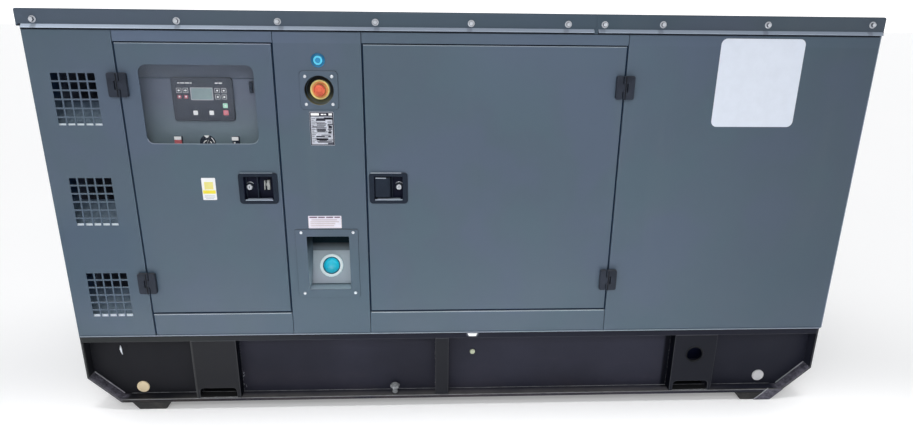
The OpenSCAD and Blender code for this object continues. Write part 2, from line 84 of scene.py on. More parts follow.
# ------------------------------------------------------------------ materials
class G:
    """a small helper for node materials"""

    def __init__(self, name, color, rough=0.5, metal=0.0, spec=0.5):
        self.m = bpy.data.materials.new(name)
        self.m.use_nodes = True
        self.t = self.m.node_tree
        self.t.nodes.clear()
        self.out = self.n("ShaderNodeOutputMaterial")
        self.b = self.n("ShaderNodeBsdfPrincipled")
        self.t.links.new(self.b.outputs[0], self.out.inputs[0])
        self.co = self.n("ShaderNodeTexCoord").outputs["Object"]
        self.b.inputs["Base Color"].default_value = (*color, 1.0)
        self.b.inputs["Roughness"].default_value = rough
        self.b.inputs["Metallic"].default_value = metal
        self.b.inputs["Specular IOR Level"].default_value = spec
        self.nor = None

    def n(self, typ, **kw):
        x = self.t.nodes.new(typ)
        for k, v in kw.items():
            setattr(x, k, v)
        return x

    def l(self, a, b):
        self.t.links.new(a, b)

    def put(self, sock, v):
        if hasattr(v, "is_linked") or hasattr(v, "links"):
            self.l(v, sock)
        elif isinstance(v, (tuple, list)):
            sock.default_value = (*v, 1.0) if len(v) == 3 else v
        else:
            sock.default_value = v

    def scaled(self, sx, sy, sz):
        x = self.n("ShaderNodeMapping")
        x.inputs["Scale"].default_value = (sx, sy, sz)
        self.l(self.co, x.inputs["Vector"])
        return x.outputs[0]

    def noise(self, scale, detail=3.0, rough=0.5, vec=None, dist=0.0):
        x = self.n("ShaderNodeTexNoise")
        self.l(vec or self.co, x.inputs["Vector"])
        x.inputs["Scale"].default_value = scale
        x.inputs["Detail"].default_value = detail
        x.inputs["Roughness"].default_value = rough
        x.inputs["Distortion"].default_value = dist
        return x.outputs["Fac"]

    def voronoi(self, scale, vec=None, out="Distance", feature="F1"):
        x = self.n("ShaderNodeTexVoronoi", feature=feature)
        self.l(vec or self.co, x.inputs["Vector"])
        x.inputs["Scale"].default_value = scale
        return x.outputs[out]

    def rng(self, v, a, b, c=0.0, d=1.0):
        x = self.n("ShaderNodeMapRange", interpolation_type="SMOOTHSTEP")
        self.l(v, x.inputs["Value"])
        for k, q in zip(("From Min", "From Max", "To Min", "To Max"), (a, b, c, d)):
            x.inputs[k].default_value = q
        return x.outputs[0]

    def lin(self, v, a, b, c=0.0, d=1.0):
        x = self.n("ShaderNodeMapRange")
        self.l(v, x.inputs["Value"])
        for k, q in zip(("From Min", "From Max", "To Min", "To Max"), (a, b, c, d)):
            x.inputs[k].default_value = q
        return x.outputs[0]

    def mix(self, fac, a, b):
        x = self.n("ShaderNodeMix", data_type="RGBA")
        self.put(x.inputs["Factor"], fac)
        self.put(x.inputs["A"] if False else [i for i in x.inputs if i.name == "A" and i.type == "RGBA"][0], a)
        self.put([i for i in x.inputs if i.name == "B" and i.type == "RGBA"][0], b)
        return [o for o in x.outputs if o.type == "RGBA"][0]

    def math(self, op, a, b=0.0, clamp=False):
        x = self.n("ShaderNodeMath", operation=op, use_clamp=clamp)
        self.put(x.inputs[0], a)
        self.put(x.inputs[1], b)
        return x.outputs[0]

    def up(self):
        """how far the surface faces up, 0 to 1"""
        g = self.n("ShaderNodeNewGeometry")
        s = self.n("ShaderNodeSeparateXYZ")
        self.l(g.outputs["Normal"], s.inputs[0])
        return s.outputs["Z"]

    def xyz(self):
        s = self.n("ShaderNodeSeparateXYZ")
        self.l(self.co, s.inputs[0])
        return s.outputs["X"], s.outputs["Y"], s.outputs["Z"]

    def edge(self, lo=0.52, hi=0.62):
        """the folds that refine() marks, used for wear and painted highlights"""
        a = self.n("ShaderNodeAttribute")
        a.attribute_name = "fold"
        return a.outputs["Fac"]

    def bump(self, height, dist, strength=1.0):
        x = self.n("ShaderNodeBump")
        x.inputs["Distance"].default_value = dist
        x.inputs["Strength"].default_value = strength
        self.l(height, x.inputs["Height"])
        if self.nor is not None:
            self.l(self.nor, x.inputs["Normal"])
        self.nor = x.outputs[0]
        self.l(self.nor, self.b.inputs["Normal"])

    def color(self, c):
        self.put(self.b.inputs["Base Color"], c)

    def rough(self, r):
        self.put(self.b.inputs["Roughness"], r)


def srgb(r, g, b):
    f = lambda v: (v / 255 / 12.92) if v / 255 <= 0.04045 else ((v / 255 + 0.055) / 1.055) ** 2.4
    return (f(r), f(g), f(b))


def times(c, k):
    return tuple(min(1.0, v * k) for v in c)


def paint(name, base, dust=(0.42, 0.43, 0.43), up_dust_and_light=0.55, rough=0.42, streak=0.05, grain=0.00012, edge_wear_and_highlight=0.25, spec=0.4, blotch=0.36):
    g = G(name, base, rough, spec=spec)
    big = g.noise(1.1, 3, 0.5)
    c = g.mix(g.rng(big, 0.3, 0.7), times(base, 0.955), times(base, 1.05))
    run = g.noise(1.0, 4, 0.55, g.scaled(9, 9, 0.9))
    c = g.mix(g.rng(run, 0.52, 0.78, 0.0, streak), c, times(dust, 0.62))
    fine = g.noise(46, 4, 0.6)
    c = g.mix(g.rng(fine, 0.35, 0.75, 0.0, 0.06), c, times(base, 0.78))
    if blotch > 0:
        hue = g.noise(1.0, 2, 0.45, g.scaled(5.2, 5.2, 4.6))
        c = g.mix(g.rng(hue, 0.50, 0.66, 0.0, blotch), c, (base[0] * 1.10, base[1] * 0.97, base[2] * 1.16))
        c = g.mix(g.rng(hue, 0.50, 0.34, 0.0, blotch), c, (base[0] * 0.93, base[1] * 1.09, base[2] * 1.0))
    if name == "roof_paint":
        # painted light on the roof's edge: lighter towards both ends, darker and bluer in the middle
        rx_, ry_, rz_ = g.xyz()
        c = g.mix(g.lin(rx_, -0.35, -1.05, 0.0, 0.5), c, (base[0] * 1.45, base[1] * 1.34, base[2] * 1.48, 1.0))
        middle = g.lin(g.math("ABSOLUTE", g.math("SUBTRACT", rx_, 0.05)), 0.75, 0.3, 0.0, 0.5)
        c = g.mix(middle, c, (base[0] * 0.72, base[1] * 0.93, base[2] * 1.03, 1.0))
        c = g.mix(g.lin(rx_, 0.6, 1.1, 0.0, 0.5), c, (base[0] * 1.22, base[1] * 1.1, base[2] * 1.1, 1.0))
    if name == "canopy_paint":
        # painted light and shade on the panels: darker towards the right end, low at the left end, low at the right
        # and towards the bottom; lighter in the header band on the left and across the upper middle; a greener tone
        # low in the middle
        px_, py_, pz_ = g.xyz()
        c = g.mix(g.lin(px_, 0.6, 1.25, 0.0, 0.42), c, times(base, 0.6))
        header_painted_light = g.math("MULTIPLY", g.lin(pz_, 1.2195, 1.2215, 0.0, 0.75), g.math("MULTIPLY", g.lin(px_, -0.2, -0.9, 0.15, 1.0), g.lin(px_, -1.003, -0.999, 0.0, 1.0)))
        upper_painted_light = g.math("MULTIPLY", g.lin(pz_, 0.95, 1.2, 0.0, 0.5), g.math("MULTIPLY", g.lin(px_, -0.1, 0.1, 0.0, 1.0), g.lin(px_, 0.75, 0.45, 0.0, 1.0)))
        lowleft_painted_shade = g.math("MULTIPLY", g.lin(pz_, 0.76, 0.64, 0.0, 0.5), g.math("MULTIPLY", g.lin(px_, -0.95, -1.06, 0.0, 1.0), g.lin(pz_, 0.36, 0.46, 0.2, 1.0)))
        c = g.mix(lowleft_painted_shade, c, (base[0] * 0.62, base[1] * 0.76, base[2] * 0.9, 1.0))
        lowmid = g.math("MULTIPLY", g.lin(pz_, 0.62, 0.5, 0.0, 0.4), g.math("MULTIPLY", g.lin(px_, -0.66, -0.6, 0.0, 1.0), g.lin(px_, -0.2, -0.26, 0.0, 1.0)))
        c = g.mix(lowmid, c, (base[0] * 0.84, base[1] * 1.0, base[2] * 1.02, 1.0))
        lowright_painted_shade = g.math("MULTIPLY", g.lin(pz_, 0.72, 0.5, 0.0, 0.3), g.lin(px_, 0.75, 1.1, 0.0, 1.0))
        c = g.mix(lowright_painted_shade, c, (base[0] * 0.66, base[1] * 0.72, base[2] * 0.78, 1.0))
        c = g.mix(upper_painted_light, c, (base[0] * 1.2, base[1] * 1.14, base[2] * 1.24, 1.0))
        c = g.mix(header_painted_light, c, (base[0] * 1.36, base[1] * 1.26, base[2] * 1.42, 1.0))
        c = g.mix(g.lin(g.xyz()[2], 0.27, 0.66, 0.4, 0.0), c, (base[0] * 0.6, base[1] * 0.72, base[2] * 0.75))
    # settled dust on faces that look up, partly painted top light, and lighter edges where they face up, partly worn
    # and partly painted highlight
    film = g.math("MULTIPLY", g.rng(g.up(), 0.25, 0.9), g.rng(g.noise(19, 5, 0.62), 0.18, 0.66, 0.35, 1.0))
    c = g.mix(g.math("MULTIPLY", film, up_dust_and_light), c, dust)
    edge_wear_and_highlight_mask = g.math("MULTIPLY", g.edge(), g.rng(g.up(), -0.1, 0.5, 0.25, 1.0))
    c = g.mix(g.math("MULTIPLY", edge_wear_and_highlight_mask, edge_wear_and_highlight), c, times(base, 2.6))
    g.color(c)
    r = g.lin(g.noise(7, 4, 0.6), 0.25, 0.75, rough - 0.07, rough + 0.08)
    g.rough(g.math("ADD", r, g.math("MULTIPLY", film, 0.3), True))
    g.bump(g.noise(2.3, 1, 0.4), 0.004, 0.10)
    g.bump(g.noise(420, 2, 0.5), grain, 0.55)
    return g


CANOPY = srgb(77, 93, 108)
MAT = {}
MAT["canopy"] = paint("canopy_paint", CANOPY).m
MAT["roof"] = paint("roof_paint", srgb(65, 78, 90), up_dust_and_light=0.0, edge_wear_and_highlight=0.2).m
MAT["cheek"] = paint("recess_paint", srgb(124, 136, 146), up_dust_and_light=0.2, rough=0.5, spec=0.3).m
BOLT_X = (-1213, -815.5, -525, -253.5, 24, 306, 413.5, 586, 901, 1220)


def drip_paint():
    base = srgb(149, 161, 177)
    g = G("drip_edge_paint", base, 0.45, spec=0.3)
    x, y, z = g.xyz()
    # a lighter paint than the roof's, lighter still towards the left end: painted top light; darker along the bottom
    # edge: painted shade
    c = g.mix(g.lin(x, -1.25, -0.3, 1.0, 0.0), base, srgb(204, 218, 236))
    c = g.mix(g.lin(z, 1.2575, 1.2555, 0.0, 0.55), c, times(base, 0.45))
    # painted reflections of the bolts: a darker patch at each bolt
    for k, bx in enumerate(BOLT_X):
        d = g.math("ABSOLUTE", g.math("SUBTRACT", x, bx * 0.001 + (0.004 if bx < 0 else -0.006)))
        c = g.mix(g.rng(d, 0.004, 0.011, 0.5, 0.0), c, times(base, 0.42))
    c = g.mix(g.rng(g.noise(5, 4, 0.6), 0.35, 0.7, 0.0, 0.2), c, times(base, 0.8))
    g.color(c)
    g.rough(g.lin(g.noise(20, 4, 0.6), 0.25, 0.75, 0.38, 0.55))
    g.bump(g.noise(420, 2, 0.5), 0.0001, 0.4)
    return g.m


MAT["drip"] = drip_paint()
def shade_paint(name, lo, hi, z0, z1, floor=None):
    """recess paint with painted shade, dark at the top; given a floor colour, lighter low down as painted light"""
    g = G(name, lo, 0.5, spec=0.2)
    z = g.xyz()[2]
    c = g.mix(g.rng(z, z0, z1, 0.0, 1.0), lo, hi)
    if floor:
        c = g.mix(g.lin(z, 0.455, 0.54, 1.0, 0.0), c, floor)
    c = g.mix(g.rng(g.noise(16, 4, 0.6), 0.3, 0.75, 0.0, 0.12), c, times(lo, 0.8))
    g.color(c)
    g.rough(g.lin(g.noise(20, 4, 0.6), 0.25, 0.75, 0.42, 0.6))
    g.bump(g.noise(420, 2, 0.5), 0.0001, 0.4)
    return g.m


# painted shade for the recesses, dark at the top, and a lighter recess floor paint as painted light
MAT["pit"] = shade_paint("recess_shade_paint", srgb(112, 124, 132), srgb(8, 22, 30), 0.543, 0.576)
MAT["fillfloor"] = paint("recess_floor_painted_light", srgb(152, 170, 184), up_dust_and_light=0.1, rough=0.5, spec=0.3).m
MAT["cupshade"] = shade_paint("cup_liner_painted_shade", srgb(112, 116, 96), srgb(12, 14, 14), 1.050, 1.082)
MAT["cheekshade"] = shade_paint("recess_cheek_painted_shade", srgb(100, 118, 131), srgb(8, 24, 33), 0.560, 0.604, srgb(176, 194, 206))
# the light edge paints below stand in for highlights on thin beads, the dark hem paint for shadow lines
MAT["hemlight"] = paint("hem_highlight_bright_paint", srgb(188, 200, 208), up_dust_and_light=0.2, rough=0.4).m
MAT["hemdim"] = paint("hem_dim_paint", srgb(118, 134, 146), up_dust_and_light=0.2, rough=0.4).m
MAT["hemshade"] = paint("hem_shade_paint", srgb(56, 70, 84), up_dust_and_light=0.0, rough=0.5, spec=0.2).m
MAT["basehem"] = paint("base_hem_paint", srgb(150, 152, 156), up_dust_and_light=0.1, rough=0.5, spec=0.25).m
MAT["hem"] = paint("hem_highlight_paint", srgb(150, 162, 176), up_dust_and_light=0.2, rough=0.4).m
MAT["ledge"] = paint("ledge_glow_paint", srgb(236, 246, 255), up_dust_and_light=0.1, rough=0.4).m
# the ledges glow a little: painted light
MAT["ledge"].node_tree.nodes["Principled BSDF"].inputs["Emission Color"].default_value = (0.75, 0.9, 1.0, 1.0)
MAT["ledge"].node_tree.nodes["Principled BSDF"].inputs["Emission Strength"].default_value = 0.22
# a lighter paint for the up-facing sloping plate: painted top light
MAT["shelf"] = paint("shelf_painted_light", srgb(186, 196, 208), up_dust_and_light=0.2, rough=0.4).m
def baffle_paint():
    base = srgb(28, 50, 80)
    g = G("vent_baffle_paint", base, 0.5, spec=0.3)
    x, y, z = g.xyz()
    t = g.math("FRACT", g.math("MULTIPLY_ADD", z, 1 / 0.312))
    t.node.inputs[0].links[0].from_node.inputs[2].default_value = -0.432 / 0.312 + 0.5
    # painted light and shade: lighter low in each vent, dark navy above
    low = g.lin(t, 0.26, 0.52, 1.0, 0.0)
    spot = g.rng(g.noise(60, 4, 0.7), 0.3, 0.7, 0.5, 1.15)
    c = g.mix(g.math("MULTIPLY", low, spot), base, srgb(150, 170, 186))
    g.color(c)
    g.rough(g.lin(g.noise(30, 3, 0.6), 0.25, 0.75, 0.42, 0.58))
    g.bump(g.noise(300, 2, 0.5), 0.0001, 0.4)
    return g.m


MAT["ventbaffle"] = baffle_paint()
MAT["baffle"] = paint("baffle_paint", srgb(96, 116, 130), up_dust_and_light=0.15, spec=0.3).m
def cabinet_paint():
    base = srgb(103, 112, 131)
    g = G("cabinet_paint", base, 0.5, spec=0.3)
    x, y, z = g.xyz()
    # painted shadow under the window's top edge, and painted light low down
    c = g.mix(g.lin(z, 1.108, 1.116, 0.0, 0.35), base, times(base, 0.62))
    c = g.mix(g.lin(z, 0.92, 1.05, 1.0, 0.0), c, srgb(126, 147, 156))
    c = g.mix(g.rng(g.noise(7, 4, 0.55), 0.3, 0.75, 0.0, 0.22), c, times(base, 0.7))
    g.color(c)
    g.rough(g.lin(g.noise(20, 4, 0.6), 0.25, 0.75, 0.42, 0.6))
    g.bump(g.noise(420, 2, 0.5), 0.0001, 0.4)
    return g.m


MAT["cabinet"] = cabinet_paint()


def base_black():
    base = srgb(41, 42, 53)
    g = G("base_paint", base, 0.5, spec=0.09)
    big = g.noise(2.1, 4, 0.55)
    c = g.mix(g.rng(big, 0.32, 0.7), times(base, 0.78), times(base, 1.25))
    mud = g.noise(6.5, 6, 0.62, g.scaled(1, 1, 2.2))
    x, y, z = g.xyz()
    ax, ay = g.math("ABSOLUTE", x), g.math("ABSOLUTE", y)
    low = g.lin(z, 0.04, 0.17, 1.0, 0.0)
    haze = g.math("MULTIPLY", g.rng(mud, 0.4, 0.72), low)
    c = g.mix(g.math("MULTIPLY", haze, 0.07), c, srgb(104, 92, 92))
    # darker towards the frame's ends
    c = g.mix(g.rng(ax, 0.86, 1.08, 0.0, 0.35), c, times(base, 0.6))
    scr = g.noise(1.0, 5, 0.7, g.scaled(3.0, 3.0, 46.0))
    c = g.mix(g.rng(scr, 0.64, 0.76, 0.0, 0.06), c, srgb(120, 122, 128))
    geo = g.n("ShaderNodeNewGeometry")
    sp = g.n("ShaderNodeSeparateXYZ")
    g.l(geo.outputs["Normal"], sp.inputs[0])
    up = sp.outputs["Z"]
    M = lambda a, q: g.math("MULTIPLY", a, q)
    # the frame darkens towards its ends, with a violet tinge in the middle
    c = g.mix(g.lin(x, -0.72, -0.92, 0.0, 0.85), c, srgb(25, 26, 29))
    c = g.mix(g.lin(x, 0.84, 0.9, 0.0, 0.7), c, srgb(31, 33, 43))
    # posts and top flange
    post = M(g.lin(ay, 0.4905, 0.4925, 0.0, 1.0), M(g.lin(z, 0.2605, 0.2595, 0.0, 1.0), g.lin(z, 0.0415, 0.0425, 0.0, 1.0)))
    c = g.mix(M(post, 0.9), c, g.mix(g.lin(x, -0.3, 0.3, 0.0, 1.0), srgb(36, 37, 40), srgb(27, 29, 36)))
    c = g.mix(M(post, g.lin(x, -0.889, -0.892, 0.0, 0.7)), c, srgb(60, 61, 62))
    top = M(g.lin(ay, 0.4985, 0.4995, 0.0, 1.0), g.lin(z, 0.260, 0.2605, 0.0, 1.0))
    c = g.mix(M(top, 0.9), c, g.mix(g.lin(x, -0.9, -0.35, 0.0, 1.0), srgb(46, 49, 50), srgb(29, 31, 42)))
    # painted shade: the posts' side walls, and the web beside the right-hand post, near black
    nx = g.math("ABSOLUTE", sp.outputs["X"])
    near = g.math("ABSOLUTE", g.math("SUBTRACT", ax, 0.822))
    post_side_shade = M(M(g.rng(nx, 0.5, 0.8), g.lin(near, 0.078, 0.076, 0.0, 1.0)), g.lin(near, 0.070, 0.072, 0.0, 1.0))
    web_beside_post_shade = M(M(g.rng(x, 0.722, 0.733, 0.0, 1.0), g.lin(ax, 0.75, 0.748, 0.0, 1.0)), g.lin(ay, 0.475, 0.47, 0.0, 1.0))
    c = g.mix(M(g.math("MAXIMUM", post_side_shade, web_beside_post_shade), 0.95), c, srgb(4, 6, 15))
    # settled dust: a light line along the flange's front, mud on its face
    front = g.lin(ay, 0.4935, 0.4955, 0.0, 1.0)
    mid = M(g.lin(ay, 0.462, 0.484, 0.0, 0.5), g.lin(ax, 0.80, 1.0, 1.0, 0.0))
    film = M(g.rng(up, 0.3, 0.92), g.rng(g.noise(15, 6, 0.65), 0.2, 0.62, 0.45, 1.0))
    film = M(film, g.math("MAXIMUM", front, mid))
    film = M(film, g.lin(z, 0.06, 0.2, 1.0, 0.3))
    c = g.mix(M(film, 0.62), c, srgb(118, 116, 112))
    face = M(g.lin(ay, 0.4985, 0.4995, 0.0, 1.0), M(g.lin(z, 0.0425, 0.0415, 0.0, 1.0), g.lin(x, 0.85, 0.35, 0.12, 1.0)))
    c = g.mix(M(face, g.rng(g.noise(9, 6, 0.62), 0.25, 0.7, 0.0, 0.45)), c, srgb(88, 80, 76))
    # the plates of the cut corners, dusty and chipped
    cut = M(M(g.lin(ax, 1.128, 1.146, 0.0, 1.0), g.lin(z, 0.131, 0.127, 0.0, 1.0)), g.lin(up, 0.05, 0.3, 0.0, 1.0))
    foot = M(M(g.lin(z, 0.0425, 0.0415, 0.0, 1.0), g.lin(x, 1.05, 1.055, 0.0, 1.0)), g.lin(ay, 0.5003, 0.5006, 0.0, 1.0))
    cut = M(g.math("MAXIMUM", cut, foot), g.rng(g.noise(70, 6, 0.7), 0.3, 0.7, 0.15, 1.0))
    c = g.mix(M(cut, 0.9), c, srgb(112, 110, 122))
    # front edges that look up, lighter: partly worn, partly painted highlight
    ny = g.math("ABSOLUTE", sp.outputs["Y"])
    fold = M(M(g.rng(up, 0.2, 0.45), g.rng(ny, 0.25, 0.45)), g.lin(ax, 1.12, 1.14, 1.0, 0.15))
    fold = M(fold, g.rng(g.noise(28, 5, 0.65), 0.3, 0.6, 0.35, 1.0))
    fold = M(fold, g.lin(z, 0.20, 0.24, 1.0, 0.25))
    c = g.mix(M(fold, 0.8), c, srgb(150, 152, 156))
    c = g.mix(M(g.edge(0.53, 0.66), 0.2), c, srgb(110, 112, 116))
    g.color(c)
    r = g.lin(g.noise(11, 5, 0.6), 0.25, 0.75, 0.42, 0.6)
    g.rough(g.math("ADD", r, g.math("MULTIPLY", film, 0.35), True))
    g.bump(g.noise(3.0, 2, 0.5), 0.005, 0.18)
    g.bump(g.noise(260, 3, 0.55), 0.0002, 0.5)
    return g.m


MAT["base"] = base_black()


def plastic(name, c, rough=0.45, grain=900, depth=0.00008, vary=0.08, spec=0.5, up_dust_and_light=0.12):
    g = G(name, c, rough, spec=spec)
    k = g.mix(g.rng(g.noise(24, 4, 0.6), 0.3, 0.7), times(c, 1 - vary), times(c, 1 + vary))
    # dust on faces that look up, partly painted top light
    film = g.rng(g.up(), 0.4, 0.95, 0.0, up_dust_and_light)
    k = g.mix(film, k, (0.42, 0.42, 0.41))
    g.color(k)
    g.rough(g.lin(g.noise(60, 3, 0.6), 0.25, 0.75, max(rough - 0.06, 0.05), rough + 0.07))
    g.bump(g.voronoi(grain), depth, 0.5)
    g.bump(g.noise(16, 2, 0.5), 0.0004, 0.12)
    return g.m


MAT["navy"] = plastic("hole_shade_liner", srgb(10, 14, 34), 0.7, vary=0.1, spec=0.05, up_dust_and_light=0.0)
MAT["lipdark"] = plastic("recess_shadow_strip", srgb(12, 28, 36), 0.7, vary=0.1, spec=0.05, up_dust_and_light=0.0)
MAT["gapdark"] = plastic("gap_shade_rubber_dark", srgb(8, 20, 34), 0.7, vary=0.1, spec=0.05, up_dust_and_light=0.0)
MAT["gap"] = plastic("gap_shade_rubber", srgb(14, 36, 60), 0.6, vary=0.1, spec=0.1, up_dust_and_light=0.0)
MAT["black"] = plastic("black_plastic", srgb(42, 43, 50), 0.42, up_dust_and_light=0.24, spec=0.1)
MAT["latch"] = plastic("latch_plastic", srgb(33, 41, 53), 0.42, up_dust_and_light=0.14, spec=0.1)
MAT["hinge"] = plastic("hinge_plastic", srgb(46, 51, 61), 0.45, vary=0.2, spec=0.1, up_dust_and_light=0.1)
MAT["dark"] = plastic("dark_moulding", srgb(14, 16, 21), 0.55, up_dust_and_light=0.05, spec=0.15)
MAT["ctrl"] = plastic("controller_plastic", srgb(64, 69, 82), 0.5, grain=1400, spec=0.3)
MAT["cream"] = plastic("cream_plastic", srgb(222, 205, 170), 0.5, vary=0.05)
MAT["pale"] = plastic("pale_plastic", srgb(206, 206, 208), 0.5, vary=0.05)
MAT["yellow"] = plastic("yellow_plastic", srgb(252, 222, 142), 0.4, vary=0.22, spec=0.3)
MAT["reddark"] = plastic("dark_red_plastic", srgb(196, 66, 58), 0.45, vary=0.2, spec=0.3)
MAT["red"] = plastic("red_plastic", srgb(224, 108, 76), 0.42, vary=0.2, spec=0.3)
MAT["blue"] = plastic("blue_plastic", srgb(22, 106, 148), 0.3, vary=0.2, spec=0.35)
MAT["brightcyan"] = plastic("cyan_highlight_plastic", srgb(96, 212, 246), 0.25, vary=0.05)
MAT["teal"] = plastic("deep_teal_plastic", srgb(12, 96, 116), 0.35, vary=0.06, spec=0.3)
MAT["cyan"] = plastic("cyan_plastic", srgb(48, 228, 255), 0.3, vary=0.06)
MAT["capring"] = plastic("cap_ring_glowing_plastic", srgb(240, 255, 255), 0.32, vary=0.03)
# the ring glows a little: painted light
MAT["capring"].node_tree.nodes["Principled BSDF"].inputs["Emission Color"].default_value = (0.6, 0.9, 1.0, 1.0)
MAT["capring"].node_tree.nodes["Principled BSDF"].inputs["Emission Strength"].default_value = 0.10
MAT["orange"] = plastic("orange_yellow_plastic", srgb(250, 160, 96), 0.45, vary=0.08)
MAT["bluelight"] = plastic("bright_blue_plastic", srgb(36, 140, 190), 0.22, vary=0.06)
MAT["greyprint"] = plastic("grey_print", srgb(176, 178, 186), 0.5, vary=0.06)
MAT["badge"] = plastic("bare_white_vinyl", srgb(219, 226, 238), 0.36, grain=300, depth=0.00003, vary=0.02, up_dust_and_light=0.0)
MAT["switchdark"] = plastic("switch_plastic", srgb(28, 38, 56), 0.45, spec=0.15, up_dust_and_light=0.05)
MAT["markwhite"] = plastic("glowing_white_mark", srgb(252, 252, 254), 0.45, vary=0.03)
# the marks glow a little: painted light
MAT["markwhite"].node_tree.nodes["Principled BSDF"].inputs["Emission Color"].default_value = (1.0, 1.0, 1.0, 1.0)
MAT["markwhite"].node_tree.nodes["Principled BSDF"].inputs["Emission Strength"].default_value = 0.2
MAT["keywhite"] = plastic("white_key", srgb(250, 251, 253), 0.45, vary=0.03)
MAT["keygreen"] = plastic("green_key", srgb(184, 238, 214), 0.45, vary=0.05)
MAT["keyred"] = plastic("red_key", srgb(226, 126, 140), 0.45, vary=0.2)
MAT["keydim"] = plastic("dim_red_key", srgb(186, 96, 114), 0.45, vary=0.2)
MAT["rocker"] = plastic("red_rocker_plastic", srgb(240, 108, 112), 0.45, vary=0.1)
MAT["inkpale"] = plastic("pale_pink_mark", srgb(222, 150, 160), 0.5, vary=0.15)
MAT["ink"] = plastic("dark_print", srgb(48, 50, 62), 0.55, vary=0.1, spec=0.15)
MAT["inkred"] = plastic("plum_print", srgb(112, 76, 104), 0.55, vary=0.25)
MAT["pinkprint"] = plastic("pale_pink_print", srgb(190, 174, 176), 0.55, vary=0.1)
MAT["noticepink"] = plastic("pinkish_vinyl", srgb(222, 219, 230), 0.36, grain=300, depth=0.00003, vary=0.05, up_dust_and_light=0.0)
MAT["vinyl"] = plastic("white_vinyl", srgb(236, 237, 238), 0.34, grain=300, depth=0.00003, vary=0.025, up_dust_and_light=0.0)
MAT["paleyellow"] = plastic("pale_yellow_vinyl", srgb(230, 221, 134), 0.36, grain=300, depth=0.00003, vary=0.04)
MAT["vinylyellow"] = plastic("yellow_vinyl", srgb(238, 222, 60), 0.36, grain=300, depth=0.00003, vary=0.04)


def metal(name, c, rough=0.35, brushed=None, vary=0.18):
    g = G(name, c, rough, metal=1.0)
    k = g.mix(g.rng(g.noise(60, 5, 0.65), 0.28, 0.72), times(c, 1 - vary), times(c, 1 + vary * 0.5))
    g.color(k)
    g.rough(g.lin(g.noise(130, 4, 0.6), 0.25, 0.75, max(rough - 0.1, 0.08), rough + 0.14))
    if brushed:
        g.bump(g.noise(1.0, 3, 0.6, g.scaled(*brushed)), 0.00005, 0.6)
    g.bump(g.noise(240, 3, 0.6), 0.00008, 0.5)
    return g.m


MAT["zinc"] = metal("zinc_steel", srgb(196, 200, 206), 0.34)
MAT["rivet"] = metal("rivet_metal", srgb(216, 220, 226), 0.42)
MAT["chrome"] = metal("chrome", srgb(226, 228, 232), 0.14, vary=0.06)
MAT["plate"] = metal("plate_metal", srgb(206, 210, 220), 0.5, brushed=(40, 40, 900))
MAT["leverlight"] = plastic("lever_metal", srgb(160, 163, 162), 0.45, vary=0.25, spec=0.4)
# darker plastic inside the latch wells: painted shade
MAT["well"] = plastic("latch_well_shade_plastic", srgb(14, 18, 38), 0.5, vary=0.25, spec=0.12, up_dust_and_light=0.0)
MAT["dull"] = plastic("dull_metal", srgb(124, 127, 130), 0.5, vary=0.25, spec=0.4)
MAT["boltwhite"] = plastic("bolt_zinc_bright", srgb(194, 198, 205), 0.4, vary=0.12, spec=0.5)
MAT["boltside"] = plastic("bolt_zinc_shade", srgb(74, 78, 88), 0.45, vary=0.2, spec=0.4)
MAT["castsilver"] = metal("cast_aluminium", srgb(150, 152, 155), 0.55)


def rubber():
    c = srgb(30, 30, 31)
    g = G("foot_rubber", c, 0.75)
    k = g.mix(g.rng(g.noise(22, 6, 0.65), 0.4, 0.75), c, srgb(58, 55, 53))
    g.color(k)
    g.bump(g.noise(90, 5, 0.65), 0.0008, 0.5)
    return g.m


def foam():
    c = srgb(52, 53, 56)
    g = G("lining_foam", c, 0.95, spec=0.25)
    cell = g.voronoi(520)
    k = g.mix(g.rng(cell, 0.1, 0.6), srgb(12, 20, 34), srgb(40, 50, 68))
    k = g.mix(g.rng(g.noise(5, 3, 0.5), 0.3, 0.7, 0.0, 0.25), k, srgb(24, 32, 46))
    fx, fy, fz = g.xyz()
    k = g.mix(g.math("MULTIPLY", g.lin(fx, -1.21, -1.218, 0.0, 0.9), g.lin(g.math("ABSOLUTE", fy), 0.05, 0.2, 0.0, 1.0)), k, srgb(30, 56, 100))
    g.color(k)
    g.b.inputs["Sheen Weight"].default_value = 0.25
    g.bump(cell, 0.0012, 0.8)
    g.bump(g.noise(26, 4, 0.6), 0.002, 0.25)
    return g.m


def pane():
    g = G("window_pane", srgb(120, 132, 142), 0.12)
    haze = g.rng(g.noise(9, 5, 0.6), 0.3, 0.75, 0.03, 0.08)
    wipe = g.rng(g.noise(1.0, 4, 0.6, g.scaled(6, 6, 28)), 0.5, 0.8, 0.0, 0.03)
    g.l(g.math("ADD", haze, wipe), g.b.inputs["Alpha"])
    g.color(g.mix(g.rng(g.noise(30, 4, 0.6), 0.3, 0.7), srgb(112, 124, 134), srgb(140, 150, 158)))
    g.rough(g.lin(g.noise(14, 4, 0.6), 0.25, 0.75, 0.08, 0.22))
    return g.m


def screen_mat():
    c = srgb(144, 164, 168)
    g = G("display", c, 0.3, spec=0.3)
    k = g.mix(g.rng(g.noise(40, 3, 0.5), 0.3, 0.7), times(c, 0.93), times(c, 1.06))
    g.color(k)
    g.bump(g.noise(300, 2, 0.5), 0.00003, 0.3)
    return g.m


def iron(name, c, rough=0.55):
    g = G(name, c, rough)
    k = g.mix(g.rng(g.noise(18, 5, 0.62), 0.32, 0.7), times(c, 0.8), times(c, 1.18))
    film = g.rng(g.up(), 0.4, 0.95, 0.0, 0.28)
    k = g.mix(film, k, srgb(120, 116, 108))
    g.color(k)
    g.rough(g.lin(g.noise(30, 4, 0.6), 0.25, 0.75, rough - 0.1, rough + 0.12))
    g.bump(g.noise(190, 5, 0.65), 0.0007, 0.5)
    return g.m


